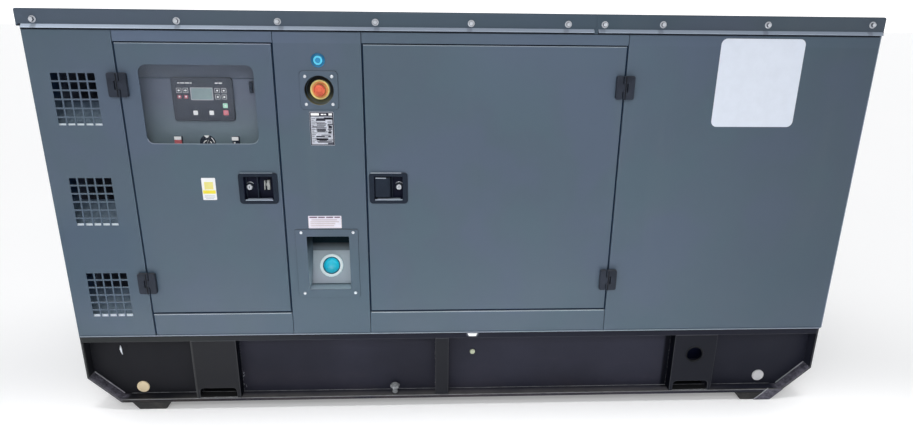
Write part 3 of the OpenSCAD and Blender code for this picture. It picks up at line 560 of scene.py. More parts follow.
MAT["rubber"] = rubber()
MAT["foam"] = foam()
MAT["pane"] = pane()
MAT["screen"] = screen_mat()
MAT["knob"] = plastic("knob_plastic", srgb(196, 204, 176), 0.45, vary=0.05)
MAT["tyre"] = plastic("shadow_strip_rubber", srgb(30, 36, 44), 0.8, vary=0.1, spec=0.1, up_dust_and_light=0.05)
MAT["engine"] = iron("engine_paint", srgb(58, 84, 80), 0.5)
MAT["alternator"] = iron("alternator_paint", srgb(62, 66, 72), 0.5)
MAT["radiator"] = iron("radiator_paint", srgb(34, 36, 39), 0.5)
MAT["fan"] = plastic("fan_plastic", srgb(214, 214, 210), 0.5, vary=0.06)
MAT["silencer"] = iron("silencer_steel", srgb(110, 108, 106), 0.6)
MAT["aircleaner"] = plastic("air_cleaner_plastic", srgb(30, 31, 34), 0.5)


# ------------------------------------------------------------------ mesh building, millimetres
def align(ax):
    return Vector((0, 0, 1)).rotation_difference(Vector(ax).normalized()).to_matrix().to_4x4()


def rr(w, h, r, cx=0.0, cz=0.0, n=6):
    pts = []
    for qx, qz, a0 in ((1, 1, 0), (-1, 1, 90), (-1, -1, 180), (1, -1, 270)):
        for k in range(n + 1):
            a = math.radians(a0 + 90 * k / n)
            pts.append((cx + qx * (w / 2 - r) + r * math.cos(a), cz + qz * (h / 2 - r) + r * math.sin(a)))
    return pts


def bevel_sharp(t, width, seg=2, angle=28.0):
    if width <= 0:
        return
    es = [e for e in t.edges if len(e.link_faces) == 2 and e.calc_face_angle(0.0) > math.radians(angle)]
    if es:
        bmesh.ops.bevel(t, geom=es, offset=width, offset_type="OFFSET", segments=seg, profile=0.5, affect="EDGES", clamp_overlap=True)


class B:
    def __init__(self):
        self.bm = bmesh.new()

    def add(self, t, mat=0, M=None):
        if M is not None:
            t.transform(M)
        for f in t.faces:
            f.material_index = mat
        me = bpy.data.meshes.new("tmp")
        t.to_mesh(me)
        t.free()
        self.bm.from_mesh(me)
        bpy.data.meshes.remove(me)
        return self

    def box(self, a, b, bev=0.0, seg=2, mat=0, M=None):
        t = bmesh.new()
        bmesh.ops.create_cube(t, size=1.0)
        s = [max(abs(b[i] - a[i]), 1e-4) for i in range(3)]
        c = [(a[i] + b[i]) / 2 for i in range(3)]
        for v in t.verts:
            v.co = Vector([v.co[i] * s[i] + c[i] for i in range(3)])
        bevel_sharp(t, min(bev, min(s) * 0.45), seg)
        return self.add(t, mat, M)

    def prism(self, pts, plane, d0, d1, bev=0.0, seg=2, mat=0, M=None):
        P = {"xz": lambda u, v, d: (u, d, v), "yz": lambda u, v, d: (d, u, v), "xy": lambda u, v, d: (u, v, d)}[plane]
        t = bmesh.new()
        lo = [t.verts.new(P(u, v, d0)) for u, v in pts]
        hi = [t.verts.new(P(u, v, d1)) for u, v in pts]
        t.faces.new(lo)
        t.faces.new(hi)
        n = len(pts)
        for k in range(n):
            t.faces.new((lo[k], lo[(k + 1) % n], hi[(k + 1) % n], hi[k]))
        bmesh.ops.recalc_face_normals(t, faces=t.faces[:])
        bevel_sharp(t, bev, seg)
        return self.add(t, mat, M)

    def lathe(self, prof, p=(0, 0, 0), ax=(0, 0, 1), seg=32, mat=0, closed=False, M=None):
        t = bmesh.new()
        rings = []
        for r, h in prof:
            if r < 1e-6:
                rings.append([t.verts.new((0, 0, h))])
            else:
                rings.append([t.verts.new((r * math.cos(2 * math.pi * k / seg), r * math.sin(2 * math.pi * k / seg), h)) for k in range(seg)])
        pairs = list(zip(rings, rings[1:])) + ([(rings[-1], rings[0])] if closed else [])
        for a, b in pairs:
            if len(a) == 1 and len(b) == 1:
                continue
            for k in range(seg):
                k2 = (k + 1) % seg
                if len(a) == 1:
                    t.faces.new((a[0], b[k], b[k2]))
                elif len(b) == 1:
                    t.faces.new((a[k], b[0], a[k2]))
                else:
                    t.faces.new((a[k], a[k2], b[k2], b[k]))
        if not closed:
            for ring in (rings[0], rings[-1]):
                if len(ring) > 1:
                    t.faces.new(ring)
        bmesh.ops.recalc_face_normals(t, faces=t.faces[:])
        X = Matrix.Translation(Vector(p)) @ align(ax)
        return self.add(t, mat, (M @ X) if M is not None else X)

    def cyl(self, p, ax, r, h, seg=32, bev=0.0, mat=0, M=None):
        b = min(bev, r * 0.45, h * 0.45)
        prof = [(0, 0), (r, 0), (r, h), (0, h)] if b <= 0 else [(0, 0), (r - b, 0), (r - b * 0.3, b * 0.3), (r, b), (r, h - b), (r - b * 0.3, h - b * 0.3), (r - b, h), (0, h)]
        return self.lathe(prof, p, ax, seg, mat, M=M)

    def hexa(self, p, ax, af, h, bev=0.4, mat=0, turn=0.0, M=None):
        pts = [(af / math.sqrt(3) * math.cos(math.radians(60 * k + turn)), af / math.sqrt(3) * math.sin(math.radians(60 * k + turn))) for k in range(6)]
        X = Matrix.Translation(Vector(p)) @ align(ax)
        return self.prism(pts, "xy", 0, h, bev, 2, mat, (M @ X) if M is not None else X)

    def tube(self, pts, r, seg=10, mat=0, rad=None, caps=True):
        P = [Vector(p) for p in pts]
        t = bmesh.new()
        rings = []
        up = None
        for i, p in enumerate(P):
            d = (P[min(i + 1, len(P) - 1)] - P[max(i - 1, 0)]).normalized()
            if up is None:
                up = Vector((0, 0, 1)) if abs(d.z) < 0.9 else Vector((1, 0, 0))
            s = d.cross(up).normalized()
            up = s.cross(d).normalized()
            q = r if rad is None else rad(i / (len(P) - 1))
            rings.append([t.verts.new(p + (s * math.cos(2 * math.pi * k / seg) + up * math.sin(2 * math.pi * k / seg)) * q) for k in range(seg)])
        for a, b in zip(rings, rings[1:]):
            for k in range(seg):
                t.faces.new((a[k], a[(k + 1) % seg], b[(k + 1) % seg], b[k]))
        if caps:
            t.faces.new(rings[0])
            t.faces.new(rings[-1])
        bmesh.ops.recalc_face_normals(t, faces=t.faces[:])
        return self.add(t, mat)

    def bead(self, a, b, r=3.0, pitch=3.2, mat=0):
        """a weld bead from a to b, scalloped along its length"""
        A, C = Vector(a), Vector(b)
        n = max(3, int((C - A).length / pitch * 3))
        pts = [A + (C - A) * (i / n) + Vector((rnd.uniform(-0.25, 0.25), rnd.uniform(-0.25, 0.25), rnd.uniform(-0.25, 0.25))) for i in range(n + 1)]
        return self.tube(pts, r, 7, mat, rad=lambda u: r * (0.82 + 0.22 * abs(math.sin(u * n / 3 * math.pi))))

    def mirror_y(self):
        """the same again on the other long side"""
        me = bpy.data.meshes.new("tmp")
        self.bm.to_mesh(me)
        t = bmesh.new()
        t.from_mesh(me)
        bpy.data.meshes.remove(me)
        for v in t.verts:
            v.co.y = -v.co.y
        bmesh.ops.reverse_faces(t, faces=t.faces[:])
        me = bpy.data.meshes.new("tmp")
        t.to_mesh(me)
        t.free()
        self.bm.from_mesh(me)
        bpy.data.meshes.remove(me)
        return self


def put(bm, name, body, mats, replaces=(), auto=35.0, scale=0.001, wn=True):
    if scale != 1.0:
        for v in bm.verts:
            v.co *= scale
    me = bpy.data.meshes.new(name)
    bm.to_mesh(me)
    bm.free()
    o = bpy.data.objects.new(name, me)
    scene.collection.objects.link(o)
    for m in (mats if isinstance(mats, (list, tuple)) else [mats]):
        me.materials.append(MAT[m])
    me.polygons.foreach_set("use_smooth", [True] * len(me.polygons))
    me.set_sharp_from_angle(angle=math.radians(auto))
    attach(o, body)
    if replaces:
        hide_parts(*([replaces] if isinstance(replaces, str) else replaces))
    if wn:
        w = o.modifiers.new("wn", "WEIGHTED_NORMAL")
        w.keep_sharp = True
    return o


def piece(b, name, body, mats, replaces=(), auto=35.0):
    return put(b.bm, name, body, mats, replaces, auto)


def islands(bm):
    bm.verts.index_update()
    seen, out = set(), []
    for v in bm.verts:
        if v.index in seen:
            continue
        stack, grp = [v], []
        seen.add(v.index)
        while stack:
            q = stack.pop()
            grp.append(q)
            for e in q.link_edges:
                w = e.other_vert(q)
                if w.index not in seen:
                    seen.add(w.index)
                    stack.append(w)
        out.append(grp)
    return out


def fold_normals(me, limit=28.0):
    """flat faces keep their own normal and the rounded folds between them blend"""
    c = math.cos(math.radians(limit))
    at = [[] for _ in me.vertices]
    pn, pa, old = [], [], []
    for p in me.polygons:
        pn.append(p.normal.copy())
        pa.append(p.area)
        old.append(p.material_index == 0)
        for v in p.vertices:
            at[v].append(p.index)
    nor = [None] * len(me.loops)
    for p in me.polygons:
        i = p.index
        n0 = pn[i]
        for li, v in zip(p.loop_indices, p.vertices):
            s = Vector((0, 0, 0))
            if old[i]:
                for q in at[v]:
                    if old[q] and pn[q].dot(n0) > c:
                        s += pn[q] * pa[q]
            else:
                best = max((q for q in at[v] if old[q]), key=lambda q: pn[q].dot(n0), default=None)
                if best is not None and pn[best].dot(n0) > 0.3:
                    s = pn[best].copy()
                else:
                    for q in at[v]:
                        if not old[q] and pn[q].dot(n0) > 0.3:
                            s += pn[q]
            nor[li] = s.normalized() if s.length > 1e-9 else n0
    mark = me.attributes.new("fold", "FLOAT", "FACE")
    mark.data.foreach_set("value", [0.0 if k else 1.0 for k in old])
    for p in me.polygons:
        p.material_index = 0
    me.polygons.foreach_set("use_smooth", [True] * len(me.polygons))
    me.normals_split_custom_set(nor)


def refine(node, mat, rule="pan", wide=2.2, fine=0.4, seg=3, axis=1, name=None, keep=None, tol=2e-5):
    """the CAD piece again, with its folds and edges rounded"""
    bm = bmesh.new()
    bm.from_mesh(NODES[node].data)
    bmesh.ops.remove_doubles(bm, verts=bm.verts[:], dist=1e-5)
    bmesh.ops.dissolve_limit(bm, angle_limit=math.radians(0.4), use_dissolve_boundaries=False, verts=bm.verts[:], edges=bm.edges[:], delimit=set())
    if keep is not None:
        bmesh.ops.delete(bm, geom=[f for f in bm.faces if not keep(f)], context="FACES")
    wl = bm.edges.layers.float.new("bevel_weight_edge")
    for grp in islands(bm):
        lo = Vector([min(v.co[i] for v in grp) for i in range(3)])
        hi = Vector([max(v.co[i] for v in grp) for i in range(3)])
        face = hi[axis] if abs(hi[axis]) > abs(lo[axis]) else lo[axis]
        other = [i for i in range(3) if i != axis]
        done = set()
        for v in grp:
            for e in v.link_edges:
                if e.index in done and e.index >= 0:
                    continue
                if len(e.link_faces) != 2 or e.calc_face_angle(0.0) < math.radians(28):
                    continue
                w = fine / wide
                if rule == "all":
                    w = 1.0
                elif rule == "pan":
                    p, q = e.verts[0].co, e.verts[1].co
                    if abs(p[axis] - face) < tol and abs(q[axis] - face) < tol:
                        for i in other:
                            if any(abs(p[i] - k) < tol and abs(q[i] - k) < tol for k in (lo[i], hi[i])):
                                w = 1.0
                elif callable(rule):
                    w = rule(e, lo, hi) / wide
                e[wl] = w
    for f in bm.faces:
        f.smooth = True
    for e in bm.edges:
        e.smooth = e.calc_face_angle(0.0) < math.radians(28) or e[wl] > 0
    me = bpy.data.meshes.new("tmp_" + node)
    bm.to_mesh(me)
    bm.free()
    o = bpy.data.objects.new(name or node + "_v", me)
    scene.collection.objects.link(o)
    me.materials.append(MAT[mat])
    me.materials.append(MAT[mat])
    m = o.modifiers.new("b", "BEVEL")
    m.material = 1
    m.limit_method = "WEIGHT"
    m.width = wide * 0.001
    m.segments = seg
    m.use_clamp_overlap = False
    m.miter_outer = "MITER_SHARP"
    dg = bpy.context.evaluated_depsgraph_get()
    em = bpy.data.meshes.new_from_object(o.evaluated_get(dg))
    o.modifiers.clear()
    o.data = em
    bpy.data.meshes.remove(me)
    em.name = o.name
    fold_normals(em)
    em.materials.pop(index=1)
    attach(o, NODES[node]["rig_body"])
    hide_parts(node)
    return o


# ------------------------------------------------------------------ sheet metal, straight from the frame with folded edges
for n in ("front_vent_panel", "back_vent_panel", "front_centre_panel", "back_centre_panel", "plain_side_panels",
          "headers", "sills", "control_door_panel", "engine_door_panel", "back_doors"):
    refine(n, "canopy", wide=1.3)
refine("left_end_panel", "canopy", axis=0)
refine("right_end_panel", "canopy", axis=0)
refine("roof_left", "roof", rule="all", wide=0.5, seg=2)
refine("roof_right", "roof", rule="all", wide=0.5, seg=2)
refine("drip_edges", "drip", rule="all", wide=0.4, seg=2)
refine("door_frames", "canopy", rule="all", wide=1.5, seg=2)
for n, w in (("base_webs", 0.8), ("base_flanges", 2.2), ("base_end_plates", 2.2), ("base_posts", 2.0), ("cable_post", 2.0), ("fork_pockets", 1.2)):
    refine(n, "base", rule="all", wide=w, seg=2)
refine("fuel_tank", "base", rule="all", wide=8, seg=3)
refine("cross_members", "base", rule="all", wide=2, seg=2)
refine("base_feet", "rubber", rule="all", wide=5, seg=3)



# ------------------------------------------------------------------ more shapes
def loft(b, loops, mat=0, M=None, closed=False, bev=0.0, seg=2):
    t = bmesh.new()
    R = [[t.verts.new(p) for p in L] for L in loops]
    for a, c in list(zip(R, R[1:])) + ([(R[-1], R[0])] if closed else []):
        n = len(a)
        for k in range(n):
            t.faces.new((a[k], a[(k + 1) % n], c[(k + 1) % n], c[k]))
    if not closed:
        t.faces.new(R[0])
        t.faces.new(R[-1])
    bmesh.ops.recalc_face_normals(t, faces=t.faces[:])
    bevel_sharp(t, bev, seg)
    return b.add(t, mat, M)


def at_y(pts, y):
    return [(u, y, v) for u, v in pts]


def ring_plate(b, outer, inner, y0, y1, bev=0.4, seg=2, mat=0, M=None):
    """a flat plate with a hole of the same number of points as its outline"""
    return loft(b, [at_y(outer, y0), at_y(outer, y1), at_y(inner, y1), at_y(inner, y0)], mat, M, True, bev, seg)


def star(cx, cz, x0, x1, z0, z1, r, n=48):
    """a rectangle and a circle inside it, point for point"""
    ang = sorted(set([round(2 * math.pi * k / n, 6) for k in range(n)] +
                     [round(math.atan2(z - cz, x - cx) % (2 * math.pi), 6) for x in (x0, x1) for z in (z0, z1)]))
    outer, inner = [], []
    for a in ang:
        dx, dz = math.cos(a), math.sin(a)
        k = min([((x1 if dx > 0 else x0) - cx) / dx if abs(dx) > 1e-9 else 1e9, ((z1 if dz > 0 else z0) - cz) / dz if abs(dz) > 1e-9 else 1e9])
        outer.append((cx + dx * k, cz + dz * k))
        inner.append((cx + dx * r, cz + dz * r))
    return outer, inner


def dome(b, p, ax, r, h, seg=20, mat=0, M=None):
    prof = [(r, 0), (r, h * 0.18)] + [(r * math.cos(math.radians(a)), h * (0.18 + 0.82 * math.sin(math.radians(a)))) for a in (22, 42, 62, 78)] + [(0, h)]
    return b.lathe(prof, p, ax, seg, mat, M=M)


# ------------------------------------------------------------------ roof bolts and rivets
def washer_bolt(b, c, p, ax, turn, r=9.9, af=12.0):
    b.lathe([(5.5, 0), (r, 0), (r, 0.9), (r - 0.5, 1.4), (5.5, 1.4)], p, ax, 28)
    # the hex in a dark copy of the zinc: painted shade on its sides; washer and top in the bright copy
    c.hexa(Vector(p) + Vector(ax) * 1.3, ax, af, 7.6, 0.5, 0, turn)
    b.hexa(Vector(p) + Vector(ax) * 8.8, ax, af - 1.2, 0.5, 0.15, 0, turn)
    b.cyl(Vector(p) + Vector(ax) * 9.2, ax, 2.6, 1.0, 16, 0.3)


b, c = B(), B()
for k, x in enumerate(BOLT_X):
    for s in (-1, 1):
        washer_bolt(b, c, (x + (3.2 if x < -600 else -5.6 if x < -300 else 0.0) + rnd.uniform(-1.5, 1.5), s * 503, 1280.0 + max(0.0, (x - 450) / 740 * 6.5) - 2.2 * max(0.0, 1 - abs(x + 700) / 400) + rnd.uniform(-0.8, 0.8)), (0, s, 0), rnd.uniform(0, 60))
piece(b, "roof_bolts", SET, "boltwhite")
piece(c, "roof_bolt_heads", SET, "boltside")
# strip under the roof's joint, and foam tape between the roof's edge and the panels, dark as painted shadow
b = B()
b.box((389.0, -502.6, 1266), (392.0, 502.6, 1306.5), 0.4)
for s in (-1, 1):
    b.box((384.6, min(s * 502.8, s * 504.4), 1253.0), (395.4, max(s * 502.8, s * 504.4), 1267.6), 0.5, 2)
piece(b, "roof_joint_strip", SET, "roof")
b = B()
for s in (-1, 1):
    b.box((-1249, min(s * 500, s * 502.4), 1251.6), (1249, max(s * 500, s * 502.4), 1262), 0.8)
piece(b, "roof_edge_shadow_strips", SET, "tyre")
# a light bead along the canopy's bottom edge and ends: painted highlight
b = B()
for s in (-1, 1):
    b.bead((-1250, s * 500.4, 283.6), (1250, s * 500.4, 283.6), 1.6)
for s in (-1, 1):
    b.bead((s * 1250.2, -498, 283.6), (s * 1250.2, 498, 283.6), 1.3)
piece(b, "canopy_hem_highlights", SET, "hem")
b = B()
for s in (-1, 1):
    b.box((-1249, min(s * 497, s * 500.9), 279.6), (1249, max(s * 497, s * 500.9), 281.9), 0.4)
piece(b, "base_joint_seal", SET, "dark")
# a dark line just above the hem: painted shadow
b = B()
for s in (-1, 1):
    b.bead((-1249, s * 500.1, 287.6), (1249, s * 500.1, 287.6), 0.7)
piece(b, "canopy_hem_shadow_lines", SET, "hemshade")
# the end panels' folded corners, proud of the side panels
b = B()
for s in (-1, 1):
    b.box((1249.0, min(s * 462, s * 500.2), 284), (1254.6, max(s * 462, s * 500.2), 1259.5), 1.2, 2)
piece(b, "end_corner_folds", SET, "canopy")
# light strips along the corners: painted highlight
b = B()
for s in (-1, 1):
    b.box((1253.8, min(s * 463, s * 499.9), 284.5), (1257.0, max(s * 463, s * 499.9), 1259), 0.8, 2)
piece(b, "end_corner_highlights", SET, "hem")
# strips in the gaps, dark navy as painted shade
b = B()
for s in (-1, 1):
    for x in (-1001, -553, -294, 489.5):
        b.box((x - 1.5, min(s * 491, s * 497.2), 292), (x + 1.5, max(s * 491, s * 497.2), 1252), 0.6, 2)
    for x0, x1 in ((-998, -556), (-291, 486.5)):
        b.box((x0, min(s * 491, s * 497.2), 362.5), (x1, max(s * 491, s * 497.2), 365.3), 0.6, 2)
piece(b, "gap_shade_strips", SET, "gap")
b = B()
for s in (-1, 1):
    for x0, x1 in ((-998, -556), (-291, 486.5)):
        b.box((x0, min(s * 488, s * 495.0), 1218.5), (x1, max(s * 488, s * 495.0), 1221.3), 0.6, 2)
piece(b, "gap_top_shade_strips", SET, "gapdark")
# painted highlights along the top edges of the sills and doors
b = B()
for s in (-1, 1):
    for x0, x1 in ((-998.5, -555.5), (-291.5, 487.0)):
        b.bead((x0, s * 500.1, 360.6), (x1, s * 500.1, 360.6), 1.0)
piece(b, "sill_edge_highlights", SET, "hemlight")
for nm, body, x0, x1 in (("control_door_top_highlight", CDOOR, -997.5, -556.5), ("engine_door_top_highlight", EDOOR, -290.5, 486.0)):
    b = B()
    b.bead((x0, -500.2, 1216.7), (x1, -500.2, 1216.7), 1.15)
    piece(b, nm, body, "hem")

b = B()
for x in (-463.4, -385.0):
    for z in (1126.4, 1045.5):
        dome(b, (x, -502.5, z), (0, -1, 0), 4.9, 2.2)
for x in (-505.0, -341.3):
    for z in (642.2, 433.3):
        dome(b, (x, -502.5, z), (0, -1, 0), 4.9, 2.2)
piece(b, "rivets", SET, "rivet")

# ------------------------------------------------------------------ emergency stop
b = B()
o, i = star(-424, 1086, -424 - 56, -424 + 56, 1030, 1142, 43, 64)
# the plate's outline is a rounded square, so its corners are pulled in
o2 = []
for (x, z) in o:
    dx, dz = x + 424, z - 1086
    ax, az = abs(dx), abs(dz)
    if ax > 46 and az > 46:
        vx, vz = ax - 46, az - 46
        L = math.hypot(vx, vz)
        ax, az = 46 + vx / L * 10, 46 + vz / L * 10
    o2.append((-424 + math.copysign(ax, dx), 1086 + math.copysign(az, dz)))
circ = lambda r: [(-424 + (x + 424) * r / 43, 1086 + (z - 1086) * r / 43) for x, z in i]
loft(b, [at_y(o2, -500), at_y(o2, -502.0), at_y([(-424 + (x + 424) * 0.99, 1086 + (z - 1086) * 0.99) for x, z in o2], -502.5),
         at_y(circ(45.0), -502.5), at_y(circ(43.8), -502.2), at_y(circ(43.0), -501.2), at_y(circ(43.0), -473.0), at_y(circ(40.0), -470.2),
         at_y(circ(12.0), -470.2), at_y(circ(12.0), -467.0), at_y(circ(46.0), -467.0), at_y(circ(46.0), -500.0)], closed=True)
piece(b, "estop_cup_v", SET, "canopy", "estop_cup")
# the cup's inner wall in painted shade, dark at the top
b = B()
b.lathe([(30.8, 0.05), (42.95, 0.05), (42.95, 31.4), (42.2, 31.4), (42.2, 0.8), (30.8, 0.8)], (-424, -470, 1086), (0, -1, 0), 64, closed=True)
b.lathe([(38.2, 0.7), (39.8, 0.7), (39.8, 2.2), (38.2, 2.2)], (-424, -470, 1086), (0, -1, 0), 64, closed=True)
piece(b, "estop_cup_liner", SET, "cupshade")

# dark rims just outside the plates: painted shadow
b = B()
ring_plate(b, rr(112.8, 112.8, 10.5, -424, 1086), rr(100, 100, 6, -424, 1086), -500, -501.2, 0.2)
ring_plate(b, rr(199.0, 235.0, 5.5, -425, 535), rr(180, 216, 4, -425, 535), -500, -501.2, 0.2)
piece(b, "plate_shadow_outlines", SET, "tyre")

b = B()
C = (-424, -470, 1086)
b.lathe([(9.2, 0.2), (29.0, 0.2), (29.0, 13.6), (28.6, 14.6), (27.8, 15.0), (26.0, 14.9), (24.6, 14.0), (23.4, 12.6), (18.6, 11.6), (18.2, 4.4), (9.8, 4.4), (9.2, 3.8)], C, (0, -1, 0), 64, closed=True)
for k in range(24):
    a = math.radians(15 * k)
    b.box((-424 + 28.8 * math.cos(a) - 0.5, -483.6, 1086 + 28.8 * math.sin(a) - 0.5), (-424 + 28.8 * math.cos(a) + 0.5, -471, 1086 + 28.8 * math.sin(a) + 0.5), 0.2)
piece(b, "estop_collar_v", SET, "yellow", "estop_collar")
b = B()
b.lathe([(23.4, 12.5), (23.6, 13.2), (18.8, 12.3), (18.8, 11.5)], C, (0, -1, 0), 64, closed=True)
piece(b, "estop_collar_face", SET, "orange")

b = B()
H = (-424, -472, 1086)
b.lathe([(0, 0.2), (8, 0.2), (8, 13.2), (9.2, 14.2), (15.6, 14.4), (17.2, 15.4), (17.5, 17.0), (17.5, 21.0), (16.9, 23.4), (15.4, 25.0), (12.8, 25.7), (11.4, 25.4), (10.6, 24.4), (6, 23.7), (0, 23.4)], H, (0, -1, 0), 56)
for k in range(30):
    a = math.radians(12 * k)
    b.box((-424 + 17.45 * math.cos(a) - 0.45, -492.8, 1086 + 17.45 * math.sin(a) - 0.45), (-424 + 17.45 * math.cos(a) + 0.45, -488.2, 1086 + 17.45 * math.sin(a) + 0.45), 0.15)
piece(b, "estop_button_v", STOP, "red", "estop_button")
# three raised arrows for the turn to release, plain
b = B()
for k in range(3):
    a0 = math.radians(120 * k + 12)
    pts = []
    for j in range(8):
        a = a0 + math.radians(9.5 * j)
        pts.append((-424 + 14.2 * math.cos(a), -497.3, 1086 + 14.2 * math.sin(a)))
    b.tube(pts, 1.3, 6)
for a in range(0, 360, 24):
    q = math.radians(a)
    b.tube([(-424 + 6.2 * math.cos(q), -495.8, 1086 + 6.2 * math.sin(q)), (-424 + 10.0 * math.cos(q + 0.2), -496.2, 1086 + 10.0 * math.sin(q + 0.2))], 0.55, 6)
piece(b, "estop_button_marks", STOP, "reddark")

# ------------------------------------------------------------------ blue plug
b = B()
P = (-423.2, -500, 1172.6)
b.lathe([(13.4, 0.0), (20.6, 0.0), (20.6, 0.6), (19.6, 1.8), (17.8, 3.3), (15.9, 4.0), (14.6, 3.4), (13.8, 2.0), (13.4, 0.8)], P, (0, -1, 0), 48, closed=True)
piece(b, "top_plug_rim", SET, "blue", "top_plug")
# the raised ring in brighter cyan: painted highlight
b = B()
b.lathe([(7.4, 0.4), (13.3, 0.4), (13.3, 2.2), (12.3, 3.1), (9.2, 3.1), (7.9, 2.3)], P, (0, -1, 0), 48, closed=True)
piece(b, "top_plug_ring", SET, "brightcyan", "top_plug")
b = B()
b.lathe([(0, -8), (14, -8), (15.8, -6), (15.8, -0.6), (13.3, -0.4), (13.3, 0.5), (7.5, 0.6), (7.0, 1.5), (4.0, 2.1), (0, 2.0)], P, (0, -1, 0), 48)
piece(b, "top_plug_middle", SET, "bluelight", "top_plug")

# ------------------------------------------------------------------ rating plate, notice, bare plate, small plate
b = B()
loft(b, [at_y(rr(72, 102, 2, -421.5, 972), -500), at_y(rr(72, 102, 2, -421.5, 972), -500.8), at_y(rr(71.6, 101.6, 1.8, -421.5, 972), -501)])
piece(b, "rating_plate_v", SET, "plate", "rating_plate")
b = B()
px = lambda u: -457 + u * 71
pz = lambda v: 921.5 + v * 101


def band(b, u0, u1, v0, v1, d=0.16, mat=0):
    b.box((px(u0), -501 - d, pz(v0)), (px(u1), -500.9, pz(v1)), 0.0, 1, mat)


band(b, 0.005, 0.995, 0.865, 0.99)
band(b, 0.002, 0.045, 0.005, 0.865)
band(b, 0.95, 0.998, 0.005, 0.865)
band(b, 0.045, 0.95, 0.005, 0.03)
for v0, v1, u0, u1 in ((0.775, 0.815, 0.28, 0.95), (0.735, 0.775, 0.26, 0.66), (0.635, 0.66, 0.28, 0.70), (0.675, 0.69, 0.28, 0.64), (0.40, 0.42, 0.28, 0.72), (0.44, 0.462, 0.27, 0.67), (0.478, 0.50, 0.25, 0.66), (0.516, 0.54, 0.27, 0.69), (0.596, 0.618, 0.29, 0.66), (0.155, 0.215, 0.24, 0.74),
                       (0.555, 0.575, 0.1, 0.6), (0.44, 0.475, 0.30, 0.66), (0.40, 0.43, 0.31, 0.62), (0.30, 0.322, 0.46, 0.84), (0.245, 0.262, 0.36, 0.86),
                       (0.17, 0.205, 0.27, 0.68), (0.13, 0.15, 0.36, 0.68), (0.085, 0.108, 0.3, 0.96), (0.035, 0.075, 0.72, 0.96),
                       (0.52, 0.58, 0.78, 0.92), (0.37, 0.42, 0.76, 0.86), (0.62, 0.65, 0.74, 0.95)):
    band(b, u0, u1, v0, v1)
for k in range(14):
    v = 0.10 + 0.054 * k
    band(b, 0.07, 0.07 + 0.10 + 0.06 * ((k * 7) % 3), v, v + 0.014)
    if k % 2:
        band(b, 0.74, 0.86 + 0.04 * ((k * 5) % 3), v, v + 0.022)
for k in range(6):
    band(b, 0.77, 0.88 + 0.03 * (k % 2), 0.36 + 0.042 * k, 0.384 + 0.042 * k)
band(b, 0.26, 0.90, 0.118, 0.135)
band(b, 0.24, 0.60, 0.245, 0.285)
band(b, 0.60, 0.94, 0.79, 0.84)
piece(b, "rating_plate_bands", SET, "ink")
b = B()
for u0, u1, v0, v1 in ((0.06, 0.40, 0.895, 0.965), (0.48, 0.60, 0.91, 0.945), (0.62, 0.70, 0.91, 0.945), (0.80, 0.94, 0.90, 0.96)):
    band(b, u0, u1, v0, v1, 0.26)
piece(b, "rating_plate_marks", SET, "keywhite")

b = B()
loft(b, [at_y(rr(104, 41, 2, -428.3, 676.5), -500), at_y(rr(104, 41, 2, -428.3, 676.5), -500.6), at_y(rr(103.6, 40.6, 1.8, -428.3, 676.5), -500.8)])
piece(b, "notice_plate_v", SET, "noticepink", "notice_plate")
b = B()
for x0, x1 in ((-476, -452), (-449, -428), (-424, -402), (-398, -381)):
    b.box((x0, -500.9, 690.4), (x1, -500.7, 694.4), 0)
piece(b, "notice_plate_line", SET, "inkred")
b = B()
for z, x0, x1 in ((684.0, -470, -390), (677.5, -474, -384), (671.0, -474, -396), (664.5, -474, -400)):
    b.box((x0, -500.88, z - 1.2), (x1, -500.7, z + 1.2), 0)
for s in (-1, 1):
    b.box((-428.3 + s * 51.0 - 0.4, -500.88, 657.5), (-428.3 + s * 51.0 + 0.4, -500.7, 695.5), 0)
b.box((-479.3, -500.88, 657.1), (-377.3, -500.7, 657.9), 0)
piece(b, "notice_plate_bands", SET, "pinkprint")

b = B()
loft(b, [at_y(rr(257, 263, 18, 898.5, 1113, 10), -500), at_y(rr(257, 263, 18, 898.5, 1113, 10), -500.7), at_y(rr(256.4, 262.4, 17.8, 898.5, 1113, 10), -501)])
piece(b, "badge_plate_v", SET, "badge", "badge_plate")

b = B()
loft(b, [at_y(rr(42, 70, 2.5, -776, 785), -500), at_y(rr(42, 70, 2.5, -776, 785), -500.6), at_y(rr(41.6, 69.6, 2.3, -776, 785), -500.7)])
piece(b, "small_plate", CDOOR, "vinyl")
b = B()
b.prism(rr(38.5, 11, 1, -776, 775.5), "xz", -500.82, -500.65)
piece(b, "small_plate_middle", CDOOR, "vinylyellow")
b = B()
b.prism(rr(27, 24, 1, -776, 795.5), "xz", -500.82, -500.65)
piece(b, "small_plate_top", CDOOR, "paleyellow")
b = B()
for z, w in ((763.2, 30), (759.0, 32), (754.8, 24)):
    b.box((-776 - w / 2, -500.82, z - 0.8), (-776 + w / 2, -500.65, z + 0.8), 0)
piece(b, "small_plate_bands", CDOOR, "greyprint")

# ------------------------------------------------------------------ filler recess
FX0, FX1, FZ0, FZ1 = -488.5, -355.0, 447.0, 628.5
b = B()
ring_plate(b, rr(198, 234, 5, -425, 535), rr(FX1 - FX0, FZ1 - FZ0, 3, (FX0 + FX1) / 2, (FZ0 + FZ1) / 2), -500, -502.5, 0.7)
piece(b, "filler_plate", SET, "canopy", "filler_box")
# the recess's side walls in painted shade, dark at the top
b = B()
for x in (FX0 - 2.5, FX1):
    b.box((x, -500, FZ0 - 2.5), (x + 2.5, -401, FZ1 + 2.5), 0.6)
piece(b, "filler_walls", SET, "cheekshade", "filler_box")
# the recess floor in a lighter paint: painted light
b = B()
b.box((FX0, -500, FZ0 - 2.5), (FX1, -449, FZ0), 0.6)
piece(b, "filler_floor", SET, "fillfloor", "filler_box")
